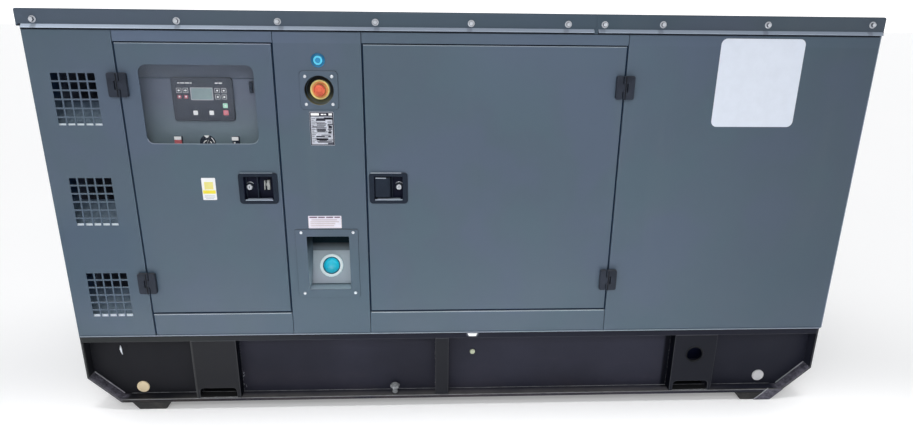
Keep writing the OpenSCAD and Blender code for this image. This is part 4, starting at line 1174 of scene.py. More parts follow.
# ceiling and back wall in painted shade, dark at the top
b = B()
b.box((FX0, -500, FZ1), (FX1, -401, FZ1 + 2.5), 0.6)
b.box((FX0, -404, 545), (FX1, -401.5, FZ1), 0.6)
piece(b, "filler_ceiling", SET, "pit", "filler_box")
# a dark strip along the back wall's top: painted shadow
b = B()
b.box((FX0 + 0.1, -406.5, 573.5), (FX1 - 0.1, -404.2, FZ1 - 0.2), 0.5)
piece(b, "filler_back_wall_shadow_strip", SET, "lipdark")
# the sloping plate with a folded front edge, in a lighter paint as painted top light
MS = Matrix.Translation(Vector((0, -450, FZ0 - 1))) @ Matrix.Rotation(math.radians(-25.2), 4, "X")
nrm = Vector((0, -0.9048, 0.4258))
cc = MS.inverted() @ Vector((-426, -425.5, 499.4))
b = B()
o, i = star(-426, cc.z, FX0 + 0.3, FX1 - 0.3, 0, 109.5, 31.2, 64)
loft(b, [at_y(o, 2.5), at_y(o, 0), at_y(i, 0), at_y(i, 2.5)], 0, MS, True, 0.5)
b.box((FX0 + 0.3, -14, -0.6), (FX1 - 0.3, 0.4, 1.6), 0.6, 2, 0, MS)
for s in (FX0 + 0.4, FX1 - 2.0):
    b.box((s, -5.0, 2.0), (s + 1.6, 0.3, 108.5), 0.4, 2, 0, MS)
piece(b, "filler_shelf", SET, "shelf", "filler_box")
b = B()
for x in (FX0 + 2, FX1 - 2):
    b.bead((x, -1.2, 4) if False else tuple(MS @ Vector((x, -1.0, 6))), tuple(MS @ Vector((x, -1.0, 104))), 1.5)
piece(b, "filler_welds", SET, "shelf")
CP = (-426, -425.5, 499.4)
CA = (0, -0.9048, 0.4258)
b = B()
b.lathe([(31.1, 0.3), (38.5, 0.3), (38.5, 3.6), (37.9, 5.0), (36.4, 6.0), (31.5, 6.0), (29.6, 5.6), (28.8, 4.6), (28.8, -6.0), (31.1, -6.0)], CP, CA, 64, closed=True)
for k in range(36):
    a = math.radians(10 * k)
    q = Matrix.Translation(Vector(CP)) @ align(CA)
    b.box((37.9, -1.0, 0.8), (38.9, 1.0, 4.4), 0.35, 2, 0, q @ Matrix.Rotation(a, 4, "Z"))
piece(b, "filler_ring", SET, "capring", "filler_cap")
b = B()
b.lathe([(0, -22), (27, -22), (28.6, -16), (28.6, 3.2), (27.9, 4.2), (26.4, 4.2), (25.4, 3.0), (24.2, -4.0), (21.5, -9.0), (16.0, -12.2), (8, -13.6), (0, -14.0)], CP, CA, 64)
piece(b, "filler_dish", SET, "cyan", "filler_cap")
# a darker teal rim round the dish: painted shade
b = B()
b.lathe([(25.6, 1.6), (26.4, 3.4), (27.9, 3.6), (28.7, 3.0), (28.7, 4.9), (27.6, 5.3), (26.0, 4.9), (25.2, 3.4)], CP, CA, 64, closed=True)
piece(b, "filler_dish_rim", SET, "teal")

# ------------------------------------------------------------------ hinges
def leaf(b, x, z, side, y=-1):
    """a hinge leaf, outer corners rounded"""
    x0, x1 = 8.2, 27.6
    pts = [(x0, -35)]
    for k in range(7):
        a = math.radians(-90 + 15 * k)
        pts.append((x1 - 6 + 6 * math.cos(a), -29 + 6 * math.sin(a)))
    for k in range(7):
        a = math.radians(15 * k)
        pts.append((x1 - 6 + 6 * math.cos(a), 29 + 6 * math.sin(a)))
    pts.append((x0, 35))
    q = [(x + side * u, z + v) for u, v in pts]
    if side < 0:
        q.reverse()
    b.prism(q, "xz", -500, -513, 1.6, 3)


def knuckle(b, x, z0, z1, side, x_to=10.0):
    b.cyl((x, -508, z0), (0, 0, 1), 6.2, z1 - z0, 32, 0.7)
    b.box((min(x, x + side * x_to), -513, z0 + 0.2), (max(x, x + side * x_to), -501.5, z1 - 0.2), 0.5, 2)


def fixed_leaf(b, x, z, side):
    leaf(b, x, z, side)
    knuckle(b, x, z - 35, z - 12.6, side)
    knuckle(b, x, z + 12.6, z + 35, side)
    b.cyl((x, -508, z - 13), (0, 0, 1), 2.9, 26, 20)


def door_leaf(b, x, z, side):
    leaf(b, x, z, side)
    # the middle knuckle is a sleeve round the pin
    b.lathe([(3.1, -12), (5.8, -12), (6.2, -11.5), (6.2, 11.5), (5.8, 12), (3.1, 12)], (x, -508, z), (0, 0, 1), 32, closed=True)
    b.box((min(x + side * 4.6, x + side * 10), -513, z - 11.8), (max(x + side * 4.6, x + side * 10), -505.5, z + 11.8), 0.5, 2)


HZ = (1099, 474)
b = B()
for z in HZ:
    fixed_leaf(b, -1001, z, -1)
    fixed_leaf(b, 489.5, z, 1)
piece(b, "frame_hinges_v", SET, "hinge", "frame_hinges")
b = B()
for z in HZ:
    door_leaf(b, -1001, z, 1)
piece(b, "control_door_hinges_v", CDOOR, "hinge", "control_door_hinges")
b = B()
for z in HZ:
    door_leaf(b, 489.5, z, -1)
piece(b, "engine_door_hinges_v", EDOOR, "hinge", "engine_door_hinges")
# the groove down the middle of each hinge
b = B()
for z in HZ:
    for x in (-1001, 489.5):
        for z0, z1 in ((z - 34, z - 12.8), (z + 12.8, z + 34)):
            b.box((x - 1.5, -514.35, z0), (x + 1.5, -513.6, z1), 0.1)
piece(b, "hinge_grooves", SET, "dark")
for x, nm, body in ((-1001, "control_door_hinge_grooves", CDOOR), (489.5, "engine_door_hinge_grooves", EDOOR)):
    b = B()
    for z in HZ:
        b.box((x - 1.5, -514.35, z - 11.4), (x + 1.5, -513.6, z + 11.4), 0.1)
    piece(b, nm, body, "dark")

# ------------------------------------------------------------------ latches
LZ = 787.0


def tray(b, x):
    z = LZ
    L = [at_y(rr(93, 80, 5, x, z), -478), at_y(rr(93, 80, 5, x, z), -499.6), at_y(rr(119, 99, 11, x, z), -499.9), at_y(rr(119, 99, 11, x, z), -502.6),
         at_y(rr(118.2, 98.2, 10.8, x, z), -503.5), at_y(rr(116.6, 96.6, 10.2, x, z), -504), at_y(rr(92, 79, 5.6, x, z), -504), at_y(rr(89.6, 76.6, 4.6, x, z), -503.4),
         at_y(rr(88.2, 75.2, 4, x, z), -502.2), at_y(rr(87, 74, 4, x, z), -482.5), at_y(rr(84, 71, 4, x, z), -480.5)]
    loft(b, L)


def well(b, x):
    z = LZ
    loft(b, [at_y(rr(88.1, 75.1, 4, x, z), -480.8), at_y(rr(88.1, 75.1, 4, x, z), -502.3), at_y(rr(86.7, 73.7, 3.6, x, z), -502.3),
             at_y(rr(86.7, 73.7, 3.6, x, z), -483.6), at_y(rr(84, 71, 3.6, x, z), -481.4)])


# a light line along the tray's bottom inner edge: painted highlight
def highlight_line(b, x, x0=-42, x1=42):
    b.tube([(x + x0, -502.6, LZ - 36.6), (x + x0 + 1.5, -502.6, LZ - 37.2), (x + x1 - 1.5, -502.6, LZ - 37.2), (x + x1, -502.6, LZ - 36.6)], 1.9, 8)


def key_barrel(b, x, z, dark):
    b.lathe([(0, 0), (9, 0), (9, 12.6), (8.4, 13.6), (7.2, 14.0), (6.6, 13.2), (0, 13.2)], (x, -480.5, z), (0, -1, 0), 36)
    dark.box((x - 0.8, -493.95, z - 3.6), (x + 0.8, -493.4, z + 3.6), 0.1)


def key_arc(b, x, z):
    pts = []
    for k in range(9):
        a = math.radians(38 + 13 * k)
        pts.append((x + 13.5 * math.cos(a), -482.5, z + 13.5 * math.sin(a)))
    b.tube(pts, 0.95, 8)


b = B()
tray(b, -625.5)
b.box((-631.5, -493, 749.8), (-627.5, -480, 824.2), 1.2, 3)
b.box((-669.0, -484, 749.8), (-664.5, -480, 824.2), 1.0, 2)
b.lathe([(9.4, 0), (12.6, 0), (12.6, 3.2), (11.8, 4.0), (9.4, 4.0)], (-655, -480.5, 789), (0, -1, 0), 32, closed=True)
piece(b, "control_door_latch_v", CDOOR, "latch", "control_door_latch")
b = B()
well(b, -625.5)
piece(b, "control_door_latch_well", CDOOR, "well")
b = B()
highlight_line(b, -625.5)
b.box((-662, -502.4, LZ - 37.3), (-588, -488, LZ - 35.0), 0.6)
piece(b, "control_door_latch_highlight", CDOOR, "hem")
b = B()
dk = B()
key_barrel(b, -655, 789, dk)
key_arc(b, -655, 789)
piece(b, "control_door_lock", CDOOR, "zinc")
b = B()
# what the missing flap leaves showing: a bent lever and its block
b.prism([(-611.0, 779), (-608.2, 779.5), (-606.0, 808), (-609.6, 809)], "xz", -491, -481, 0.6)
b.box((-601.5, -492, 780), (-592.5, -481, 810), 1.1, 2)
b.box((-604.5, -489, 792), (-600, -483, 799), 0.6, 2)
b.cyl((-596.5, -494, 803), (0, -1, 0), 3.0, 1.4, 20, 0.4)
piece(b, "control_door_lever", CDOOR, "leverlight")
piece(dk, "control_door_key_slot", CDOOR, "dark")

b = B()
tray(b, -226)
b.box((-217, -492, 749.8), (-214, -480, 824.2), 1.0, 3)
b.lathe([(9.4, 0), (12.6, 0), (12.6, 3.2), (11.8, 4.0), (9.4, 4.0)], (-194, -480.5, 789), (0, -1, 0), 32, closed=True)
piece(b, "engine_door_latch_v", EDOOR, "latch", "engine_door_latch")
b = B()
well(b, -226)
piece(b, "engine_door_latch_well", EDOOR, "well")
b = B()
highlight_line(b, -226)
b.box((-262, -502.4, LZ - 37.3), (-190, -488, LZ - 35.0), 0.6)
piece(b, "engine_door_latch_highlight", EDOOR, "hem")
b = B()
dk = B()
key_barrel(b, -194, 789, dk)
key_arc(b, -194, 789)
piece(b, "engine_door_lock", EDOOR, "zinc")
piece(dk, "engine_door_key_slot", EDOOR, "dark")

b = B()
sec = [(-267.5, -499.6), (-266.9, -500.6), (-265.6, -501.0), (-244, -501.0), (-226.5, -501.0), (-225.0, -500.6), (-224.0, -499.4), (-224.0, -497.0), (-262.6, -497.0), (-264.0, -495.2), (-266.6, -494.6), (-267.5, -495.6)]
b.prism(sec, "xy", 757.4, 819.6, 0.5, 2)
b.cyl((-224, -496.5, 757), (0, 0, 1), 3.5, 63, 24, 0.6)
piece(b, "latch_paddle_v", PADDLE, "latch", "latch_paddle")
# light strips along the paddle's and trays' top edges: painted highlight
b = B()
b.box((-266.2, -501.9, 817.9), (-234, -499.2, 820.1), 0.5)
piece(b, "latch_paddle_highlight", PADDLE, "hemlight")
b = B()
b.box((-281, -504.7, 835.3), (-186, -503.0, 837.0), 0.5)
piece(b, "engine_door_latch_top_highlight", EDOOR, "hemlight")
b = B()
b.box((-678, -504.7, 835.3), (-580, -503.0, 837.0), 0.5)
piece(b, "control_door_latch_top_highlight", CDOOR, "hem")

# the two fixed doors on the far side
b = B()
for x in (-1001, 489.5):
    for z in HZ:
        fixed_leaf(b, x, z, -1 if x < 0 else 1)
        leaf(b, x, z, 1 if x < 0 else -1)
        b.cyl((x, -508, z - 12), (0, 0, 1), 6.2, 24, 32, 0.7)
for x in (-625.5, -226):
    tray(b, x)
    b.box((x + 8, -494, 749.8), (x + 13, -480, 824.2), 1.2, 3)
    b.prism([(u + x + 226, v) for u, v in sec], "xy", 757.4, 819.6, 0.5, 2)
    b.cyl((x + 2, -496.5, 757), (0, 0, 1), 3.5, 63, 24, 0.6)
    b.lathe([(9.4, 0), (12.6, 0), (12.6, 3.2), (11.8, 4.0), (9.4, 4.0)], (x + 32, -480.5, 789), (0, -1, 0), 32, closed=True)
for v in b.bm.verts:
    v.co.y = -v.co.y
bmesh.ops.reverse_faces(b.bm, faces=b.bm.faces[:])
piece(b, "back_door_fittings_v", SET, "black", "back_door_fittings")
b = B()
dk = B()
for x in (-625.5, -226):
    key_barrel(b, x + 32, 789, dk)
    key_arc(b, x + 32, 789)
for q, nm, mt, sl in ((b, "back_door_locks", "chrome", "zinc_steel"), (dk, "back_door_key_slots", "dark", "black_plastic")):
    for v in q.bm.verts:
        v.co.y = -v.co.y
    bmesh.ops.reverse_faces(q.bm, faces=q.bm.faces[:])
    piece(q, nm, SET, mt)

# ------------------------------------------------------------------ control panel behind the window
b = B()
loft(b, [at_y(rr(470, 328, 4, -777, 1044), -437.5), at_y(rr(470, 328, 4, -777, 1044), -439.6), at_y(rr(469.2, 327.2, 3.6, -777, 1044), -440)])
b.box((-952, -437.5, 900), (-602, -270, 1188), 3, 3)
b.box((-956, -274, 896), (-598, -270, 1192), 1, 2)
for x in (-1000, -554):
    for z in (892, 1044, 1196):
        b.lathe([(0, 0), (5.5, 0), (5.5, 0.5), (4.2, 1.5), (0, 1.8)], (x, -440, z), (0, -1, 0), 20)
piece(b, "control_box_v", SET, "cabinet", "control_box")
# a dark line across the box's fold: painted shadow
b = B()
b.box((-1008, -441.6, 1112.2), (-546, -439.6, 1114.4), 0.5)
piece(b, "control_box_fold_shadow", SET, "hemshade")
b = B()
for x in (-982, -572):
    for z in (905, 1180):
        b.hexa((x, -440, z), (0, -1, 0), 8, 3, 0.4)
b.tube([(-600, -300, 950), (-592, -300, 950), (-592, -300, 1140), (-600, -300, 1140)], 3, 8)
piece(b, "control_box_screws", SET, "zinc")

CX, CZ = -782.0, 1051.0
b = B()
loft(b, [at_y(rr(182, 131, 9, CX, CZ), -440), at_y(rr(182, 131, 9, CX, CZ), -447.6), at_y(rr(180.6, 129.6, 8.6, CX, CZ), -449.2), at_y(rr(178, 127, 8, CX, CZ), -450),
         at_y(rr(172, 121, 6.5, CX, CZ), -450), at_y(rr(170.5, 119.5, 6, CX, CZ), -449.2)])
b.prism(rr(13.5, 13.5, 2, -717, 1033), "xz", -449.2, -450.0)
b.prism(rr(13.5, 13.5, 2, -717, 1011.6), "xz", -449.2, -450.0)
for x in (-850.6, -830.8):
    for z in (1078, 1059):
        b.prism(rr(14, 13.5, 2, x, z), "xz", -449.2, -449.9, 0.3)
piece(b, "controller_v", SET, "ctrl", "controller")


def outline(b, x, z, w, h, t=0.9, y0=-449.3, y1=-449.95):
    ring_plate(b, rr(w, h, 1.8, x, z, 3), rr(w - 2 * t, h - 2 * t, 1.2, x, z, 3), y0, y1, 0.0)


b = B()
ring_plate(b, rr(67, 38, 1.5, -783.5, 1068.0, 3), rr(61.6, 32.8, 1.2, -783.5, 1068.0, 3), -449.1, -450.0, 0.3)
piece(b, "display_frame", SET, "greyprint")
b = B()
b.prism(rr(62.6, 33.8, 1.2, -783.5, 1068.0, 3), "xz", -449.0, -449.6, 0.2)
piece(b, "display", SET, "screen")
b = B()
for x in (-850.6, -830.8):
    outline(b, x, 1078, 15, 14.5, 0.8, -449.2, -450.0)
for x, z in ((-737, 1078), (-717.5, 1078), (-737, 1059), (-717.5, 1059)):
    outline(b, x, z, 14.5, 14, 0.8, -449.2, -449.9)
    b.prism(rr(5.5, 5.0, 1.2, x, z, 3), "xz", -449.1, -449.95)
# plain arrows, left and right
for x, s in ((-850.6, -1), (-830.8, 1)):
    tri = [(x + s * 4.6, 1078), (x - s * 0.4, 1081.6), (x - s * 0.4, 1079.4), (x - s * 4.2, 1079.4), (x - s * 4.2, 1076.6), (x - s * 0.4, 1076.6), (x - s * 0.4, 1074.4)]
    b.prism(tri if s > 0 else tri[::-1], "xz", -449.7, -450.05)
for x, z in ((-808, 1011), (-760, 1011)):
    b.prism(rr(13.5, 13.5, 2, x, z), "xz", -449.2, -450.3, 0.4)
for x0, x1, z in ((-853, -846, 1100), (-844, -832, 1100), (-830, -817, 1100), (-815, -810, 1100), (-742, -733, 1100), (-731, -720, 1100)):
    b.box((x0, -449.5, z - 1.5), (x1, -449.1, z + 1.5), 0)
piece(b, "controller_white_keys", SET, "keywhite")
b = B()
b.prism(rr(14.4, 14.4, 2, -717, 1033), "xz", -449.8, -450.5, 0.4)
piece(b, "controller_green_key", SET, "keygreen")
b = B()
b.prism(rr(15.4, 15.4, 2, -717, 1011.6), "xz", -449.8, -450.5, 0.4)
piece(b, "controller_red_keys", SET, "keyred")
b = B()
for x in (-850.6, -830.8):
    b.prism(rr(12, 10.5, 2, x, 1059), "xz", -449.7, -450.1, 0.2)
piece(b, "controller_small_red_keys", SET, "keydim")
b = B()
b.prism(rr(7.5, 7.5, 1.5, -716, 1013), "xz", -450.4, -450.7, 0.2)
piece(b, "controller_stop_mark", SET, "inkpale")
b = B()
for x in (-850.6, -830.8):
    b.prism(rr(4.6, 4.6, 1.2, x, 1059.5, 3), "xz", -450.0, -450.3)
b.prism(rr(4.6, 4.6, 1.2, -717, 1033, 3), "xz", -450.4, -450.65)
piece(b, "controller_key_marks", SET, "keywhite")

# rocker, rotary switch, second rocker: black bodies with plain marks
b = B()
b.box((-883, -445, 905), (-859, -440, 938), 1.2, 2)
b.prism([(-445, 907), (-450.5, 921), (-452, 936), (-445, 936.4)], "yz", -881, -861, 0.8)
b.lathe([(0, 0), (24, 0), (24, 1.6), (23.2, 2.4), (17.5, 3.2), (16.6, 4.4), (0, 4.4)], (-784, -440, 917), (0, -1, 0), 48)
b.box((-788.6, -452, 901), (-779.4, -443, 933), 2.4, 3, 0, Matrix.Translation((-784, 0, 917)) @ Matrix.Rotation(math.radians(32), 4, "Y") @ Matrix.Translation((784, 0, -917)))
b.box((-708, -445, 905), (-686, -440, 938), 1.2, 2)
b.prism([(-445, 907), (-450.0, 921), (-452, 936), (-445, 936.4)], "yz", -706.5, -687.5, 0.8)
b.box((-641, -452, 1071), (-631, -440, 1106), 1.6, 2)
piece(b, "panel_switches_v", SET, "switchdark", "panel_switches")
b = B()
b.box((-881, -453.0, 928.5), (-860, -449.4, 938.5), 0.9, 2)
b.box((-707, -453.0, 926.5), (-687, -449.4, 937.5), 0.9, 2)
b.box((-702, -453.0, 917.5), (-697.5, -449.4, 921), 0.5)
b.prism([(-793, 940.4), (-777, 940.4), (-784, 930.4)][::-1], "xz", -442.2, -444.3)
pts = [(-783 + 12.6 * math.cos(math.radians(a)), -446.4, 913 + 12.6 * math.sin(math.radians(a))) for a in range(20, 161, 10)]
b.tube(pts, 1.5, 8)
pts = [(-784 + 20.4 * math.cos(math.radians(a)), -443.9, 917 + 20.4 * math.sin(math.radians(a))) for a in range(4, 60, 8)]
b.tube(pts, 1.3, 6)
b.box((-785.4, -452.0, 918), (-782.6, -451.2, 931), 0.3, 1, 0, Matrix.Translation((-784, 0, 917)) @ Matrix.Rotation(math.radians(32), 4, "Y") @ Matrix.Translation((784, 0, -917)))
piece(b, "switch_marks", SET, "markwhite")
b = B()
b.box((-881, -452.4, 906), (-860, -446.4, 928.0), 0.9, 2)
piece(b, "red_rocker", SET, "rocker")

# the window's pane and its clips
b = B()
loft(b, [at_y(rr(349, 251, 28, -777, 1041, 8), -493.6), at_y(rr(350, 252, 28, -777, 1041, 8), -494.0), at_y(rr(350, 252, 28, -777, 1041, 8), -497.1), at_y(rr(349, 251, 28, -777, 1041, 8), -497.45)])
piece(b, "control_window_v", CDOOR, "pane", "control_door_window")
b = B()
ring_plate(b, rr(350, 252, 28, -777, 1041, 8), rr(336, 238, 25, -777, 1041, 8), -493.6, -490.0, 0.8)
for x, z in ((-777, 1163), (-777, 919), (-948, 1100), (-948, 982), (-606, 1100), (-606, 982)):
    b.cyl((x, -493, z), (0, 1, 0), 4, 5, 16, 0.6)
piece(b, "window_clamp", CDOOR, "black")
# the cut-out's lower lip, light as painted highlight
b = B()
b.tube([(-940, -499.2, 940), (-936, -500.1, 932), (-929, -500.1, 927), (-918, -500.1, 925.4), (-777, -500.1, 925.2), (-636, -500.1, 925.4), (-625, -500.1, 927), (-618, -500.1, 932), (-614, -499.2, 940)], 0.9, 8)
piece(b, "window_lip_highlight", CDOOR, "hem")

# ------------------------------------------------------------------ base details
b = B()
for sx in (-1, 1):
    for sy in (-1, 1):
        p = (-1088, sy * 460, 69)
        if sx < 0:
            b.lathe([(0, 3.4), (13, 3.4), (15, 2.8), (17, 3.6), (20.0, 4.0), (21, 3.0), (21, 0), (0, 0)], (p[0], p[1], p[2]), (0, sy, 0), 40)
piece(b, "base_plugs_left", SET, "cream", "base_plugs")
b = B()
for sy in (-1, 1):
    b.lathe([(0, 3.0), (13, 3.0), (15, 2.8), (17, 3.6), (19.8, 4.0), (21, 3.0), (21, 0), (0, 0)], (1083, sy * 460, 77), (0, sy, 0), 40)
piece(b, "base_plugs_right", SET, "pale", "base_plugs")
b = B()
b.lathe([(0, 0), (9, 0), (9, 3.2), (7.6, 5.0), (4, 6.6), (0, 7.0)], (49, -460, 188), (0, -1, 0), 28)
piece(b, "base_knob", SET, "knob", "base_plugs")

b = B()
b.cyl((-221, -480, 42), (0, 0, 1), 8, 22, 24, 0.6)
b.lathe([(8, 0), (10.5, 0), (10.5, 4), (8, 4)], (-221, -480, 46), (0, 0, 1), 28, closed=True)
for k in range(5):
    b.lathe([(7.6, 0), (8.6, 0.7), (7.6, 1.4)], (-221, -480, 52 + 2.1 * k), (0, 0, 1), 24, closed=True)
b.hexa((-221, -480, 64), (0, 0, 1), 29, 9.5, 1.4, 0, 12)
b.cyl((-221, -480, 73.4), (0, 0, 1), 9.5, 4.4, 28, 1.0)
piece(b, "drain_plug_v", SET, "dull", "drain_plug")

# clip on the top flange: pale middle with darker tabs
b = B()
b.prism([(33, 269), (57, 269), (62, 280), (28, 280)], "xz", -500, -502.4, 0.6)
piece(b, "flange_clip", SET, "vinyl")
b = B()
b.prism([(27, 268.6), (34, 268.6), (29, 280.4), (22, 280.4)], "xz", -500, -501.8, 0.5)
b.prism([(56, 268.6), (63, 268.6), (68, 280.4), (61, 280.4)], "xz", -500, -501.8, 0.5)
piece(b, "flange_clip_tabs", SET, "ctrl")

# cover plate over the left bay's joint, and weld beads
b = B()
b.box((-1015, -461.2, 44), (-899.5, -459.9, 259), 0.4, 2)
b.box((-1125.2, -461.4, 222), (-1119.6, -459.9, 230), 0.5, 2)
piece(b, "web_cover", SET, "base")
b = B()
b.tube([(-1143.4, -460.4, 228), (-1143.0, -460.8, 216), (-1142.0, -461.0, 205), (-1140.4, -460.6, 194)], 2.4, 8, 0, rad=lambda u: 0.8 + 3.6 * math.sin(math.pi * (1 - u) ** 1.5))
for k in range(16):
    b.lathe([(1.3, 0), (1.0, 0.8), (0, 1.1)], (-742 + rnd.uniform(-9, 7), -460, 60 + rnd.uniform(-6, 60)), (0, -1, 0), 6)
piece(b, "bare_metal_marks", SET, "rivet")
b = B()
for s in (-1, 1):
    for sx in (-822, 822):
        for dx in (-75, 75):
            b.bead((sx + dx, s * 459.0, 44), (sx + dx, s * 459.0, 259), 2.2)
            for z0 in (43,):
                b.bead((sx - 73, s * 496, z0), (sx + 73, s * 496, z0), 1.8)
    for x in (-80, -35):
        b.bead((x, s * 459.0, 44), (x, s * 459.0, 259), 2.2)
    b.bead((-1130, s * 461.0, 43), (1130, s * 461.0, 43), 1.8)
piece(b, "weld_beads", SET, "base")
# the cut corners' inner welds, and the strip that runs down the right-hand foot
b = B()
for s in (-1, 1):
    for sx in (-1, 1):
        b.bead((sx * 1242.6, s * 461.2, 129.5), (sx * 1154.5, s * 461.2, 44.6), 1.9)
    b.bead((1101.5, s * 501.0, 41.4), (1060.0, s * 501.0, 1.8), 1.7)
    b.bead((1109.0, s * 496.5, 44.6), (1101.5, s * 501.2, 41.0), 1.5)
piece(b, "base_corner_welds", SET, "basehem")
b = B()
for s in (-1, 1):
    b.prism([(1161.6, 41.4), (1118.6, 0.4), (1058.0, 0.4), (1101.0, 41.4)], "xz", s * 499.6, s * 500.9, 0.3)
piece(b, "base_corner_feet", SET, "base")
# a dark liner behind the cable hole: painted shade
b = B()
b.box((781, -463.5, 150), (863, -461.5, 222), 0.5)
b.box((781, -489, 219), (863, -462, 221.5), 0.5)
piece(b, "cable_hole_shade_liner", SET, "navy")
# dark plates in the fork pockets: painted shade
b = B()
for sx in (-822, 822):
    for s in (-1, 1):
        b.box((sx - 61, min(s * 455, s * 494), 42.0), (sx + 61, max(s * 455, s * 494), 43.2), 0.3)
        b.box((sx - 61.5, min(s * 452, s * 300), 42.2), (sx + 61.5, max(s * 452, s * 300), 43.4), 0.3)
piece(b, "slot_shade_liners", SET, "dark")

# a strip of edge guard round the cable hole
b = B()
b.lathe([(27.9, -1.2), (30.6, -1.2), (31.2, 0.2), (31.2, 0.9), (30.4, 1.9), (28.6, 1.9), (27.0, 1.0), (26.6, -0.4), (27.0, -6.2), (31.0, -6.2), (31.0, -5.2), (27.9, -5.2)], (822, -498, 186), (0, -1, 0), 48, closed=True)
piece(b, "cable_hole_guard", SET, "dark")

# ------------------------------------------------------------------ door seals, vent ledges
def seal_loop(x0, x1, z0, z1, y, sy, w=9, h=4.0):
    mid = rr(x1 - x0, z1 - z0, 6, (x0 + x1) / 2, (z0 + z1) / 2, 4)
    o = rr(x1 - x0 + w, z1 - z0 + w, 6 + w / 2, (x0 + x1) / 2, (z0 + z1) / 2, 4)
    i = rr(x1 - x0 - w, z1 - z0 - w, 2.5, (x0 + x1) / 2, (z0 + z1) / 2, 4)
    return [at_y(o, y), at_y([((p[0] + m[0]) / 2, (p[1] + m[1]) / 2) for p, m in zip(o, mid)], y - sy * h * 0.8), at_y(mid, y - sy * h), at_y([((p[0] + m[0]) / 2, (p[1] + m[1]) / 2) for p, m in zip(i, mid)], y - sy * h * 0.8), at_y(i, y)]


b = B()
for s in (-1, 1):
    for x0, x1 in ((-1001 + 14, -553 - 14), (-294 + 14, 489.5 - 14)):
        loops = seal_loop(x0, x1, 365.25 + 14, 1218.5 - 14, 470.0, 1)
        loft(b, [[(p[0], s * p[1] if False else s * (470.0 + (470.0 - p[1])), p[2]) for p in L] for L in loops], closed=True)
piece(b, "door_seals", SET, "dark")

# ledges behind the vents' lowest holes, bright and faintly glowing: painted light
b = B()
for s in (-1, 1):
    for z in (432, 744, 1056):
        zb = z - 2.5 * 26.1 - 10.6
        q = Matrix.Translation((0, s * 499.4, zb - 2.0)) @ Matrix.Rotation(math.radians(-s * 24), 4, "X")
        b.box((-1197, min(0, -s * 12), 0), (-1060, max(0, -s * 12), 1.4), 0.4, 1, 0, q)
        b.box((-1197, min(s * 484.6, s * 483), zb - 14), (-1060, max(s * 484.6, s * 483), zb + 0.4), 0.4)
piece(b, "vent_ledge_glow", SET, "ledge")
b = B()
for s in (-1, 1):
    for z in (432, 744, 1056):
        b.box((-1216.6, min(s * 467, s * 408), z - 84), (-1215.0, max(s * 467, s * 408), z + 80), 0.3)
piece(b, "vent_cheeks", SET, "ventbaffle")

# ------------------------------------------------------------------ engine
b = B()
b.box((-90, -168, 470), (560, 168, 800), 8, 3)
b.box((-70, -115, 798), (540, 115, 846), 4, 2)
b.prism([(-130, 470), (-130, 392), (-96, 352), (96, 352), (130, 392), (130, 470)], "yz", -40, 500, 4, 2)
b.box((-48, -140, 462), (508, 140, 474), 2, 2)
b.lathe([(0, 0), (224, 0), (225, 3), (225, 30), (214, 40), (0, 40)], (-130, 0, 560), (1, 0, 0), 72)
for k in range(16):
    a = math.radians(22.5 * k)
    b.hexa((-131.5, 212 * math.cos(a), 560 + 212 * math.sin(a)), (1, 0, 0), 15, 9, 0.8, 0, 11)
for s in (-1, 1):
    for k in range(7):
        x = -60 + 92 * k
        b.box((x, min(s * 166, s * 178), 490), (x + 12, max(s * 166, s * 178), 780), 3, 2)
    b.box((-84, min(s * 166, s * 176), 776), (554, max(s * 166, s * 176), 792), 3, 2)
    b.box((-84, min(s * 166, s * 174), 560), (554, max(s * 166, s * 174), 572), 3, 2)
    for x in (-60, 480):
        b.box((x, min(s * 170, s * 260), 452), (x + 50, max(s * 170, s * 260), 470), 2, 2)
        b.box((x, min(s * 190, s * 260), 282), (x + 50, max(s * 190, s * 260), 298), 1.5, 2)
        b.box((x + 4, min(s * 246, s * 258), 296), (x + 46, max(s * 246, s * 258), 456), 2, 2)
        b.box((x + 4, min(s * 192, s * 204), 296), (x + 46, max(s * 192, s * 204), 456), 2, 2)
for x in [-20 + 50 * k for k in range(11)]:
    for s in (-1, 1):
        b.hexa((x, s * 136, 459), (0, 0, -1), 11, 6, 0.6, 0, 7)
        b.hexa((x, s * 106, 846), (0, 0, 1), 13, 8, 0.8, 0, 9)
# timing case and pump housing
b.prism([(-150, 480), (150, 480), (168, 560), (150, 780), (90, 800), (-90, 800), (-150, 780), (-168, 560)], "yz", 556, 574, 3, 2)
b.box((150, -250, 600), (390, -170, 690), 10, 3)
for k in range(4):
    b.cyl((180 + 60 * k, -214, 688), (0, 0, 1), 12, 26, 20, 2)
b.lathe([(0, 0), (46, 0), (46, 16), (40, 22), (40, 88), (34, 96), (0, 96)], (70, -176, 560), (0, -1, 0), 36)
piece(b, "engine_castings", SET, "engine", "engine_block")

b = B()
for x0, x1 in ((-64, 236), (244, 534)):
    b.prism([(-104, 846), (104, 846), (102, 880), (88, 898), (-88, 898), (-102, 880)], "yz", x0, x1, 6, 3)
    for s in (-1, 1):
        for x in (x0 + 20, (x0 + x1) / 2, x1 - 20):
            b.hexa((x, s * 84, 899), (0, 0, 1), 12, 6, 0.8, 0, 5)
b.cyl((430, 0, 896), (0, 0, 1), 26, 22, 32, 4)
for k in range(8):
    a = math.radians(45 * k)
    b.box((430 + 25 * math.cos(a) - 3, 25 * math.sin(a) - 3, 902), (430 + 25 * math.cos(a) + 3, 25 * math.sin(a) + 3, 917), 1.2)
piece(b, "rocker_covers", SET, "castsilver", "engine_block")

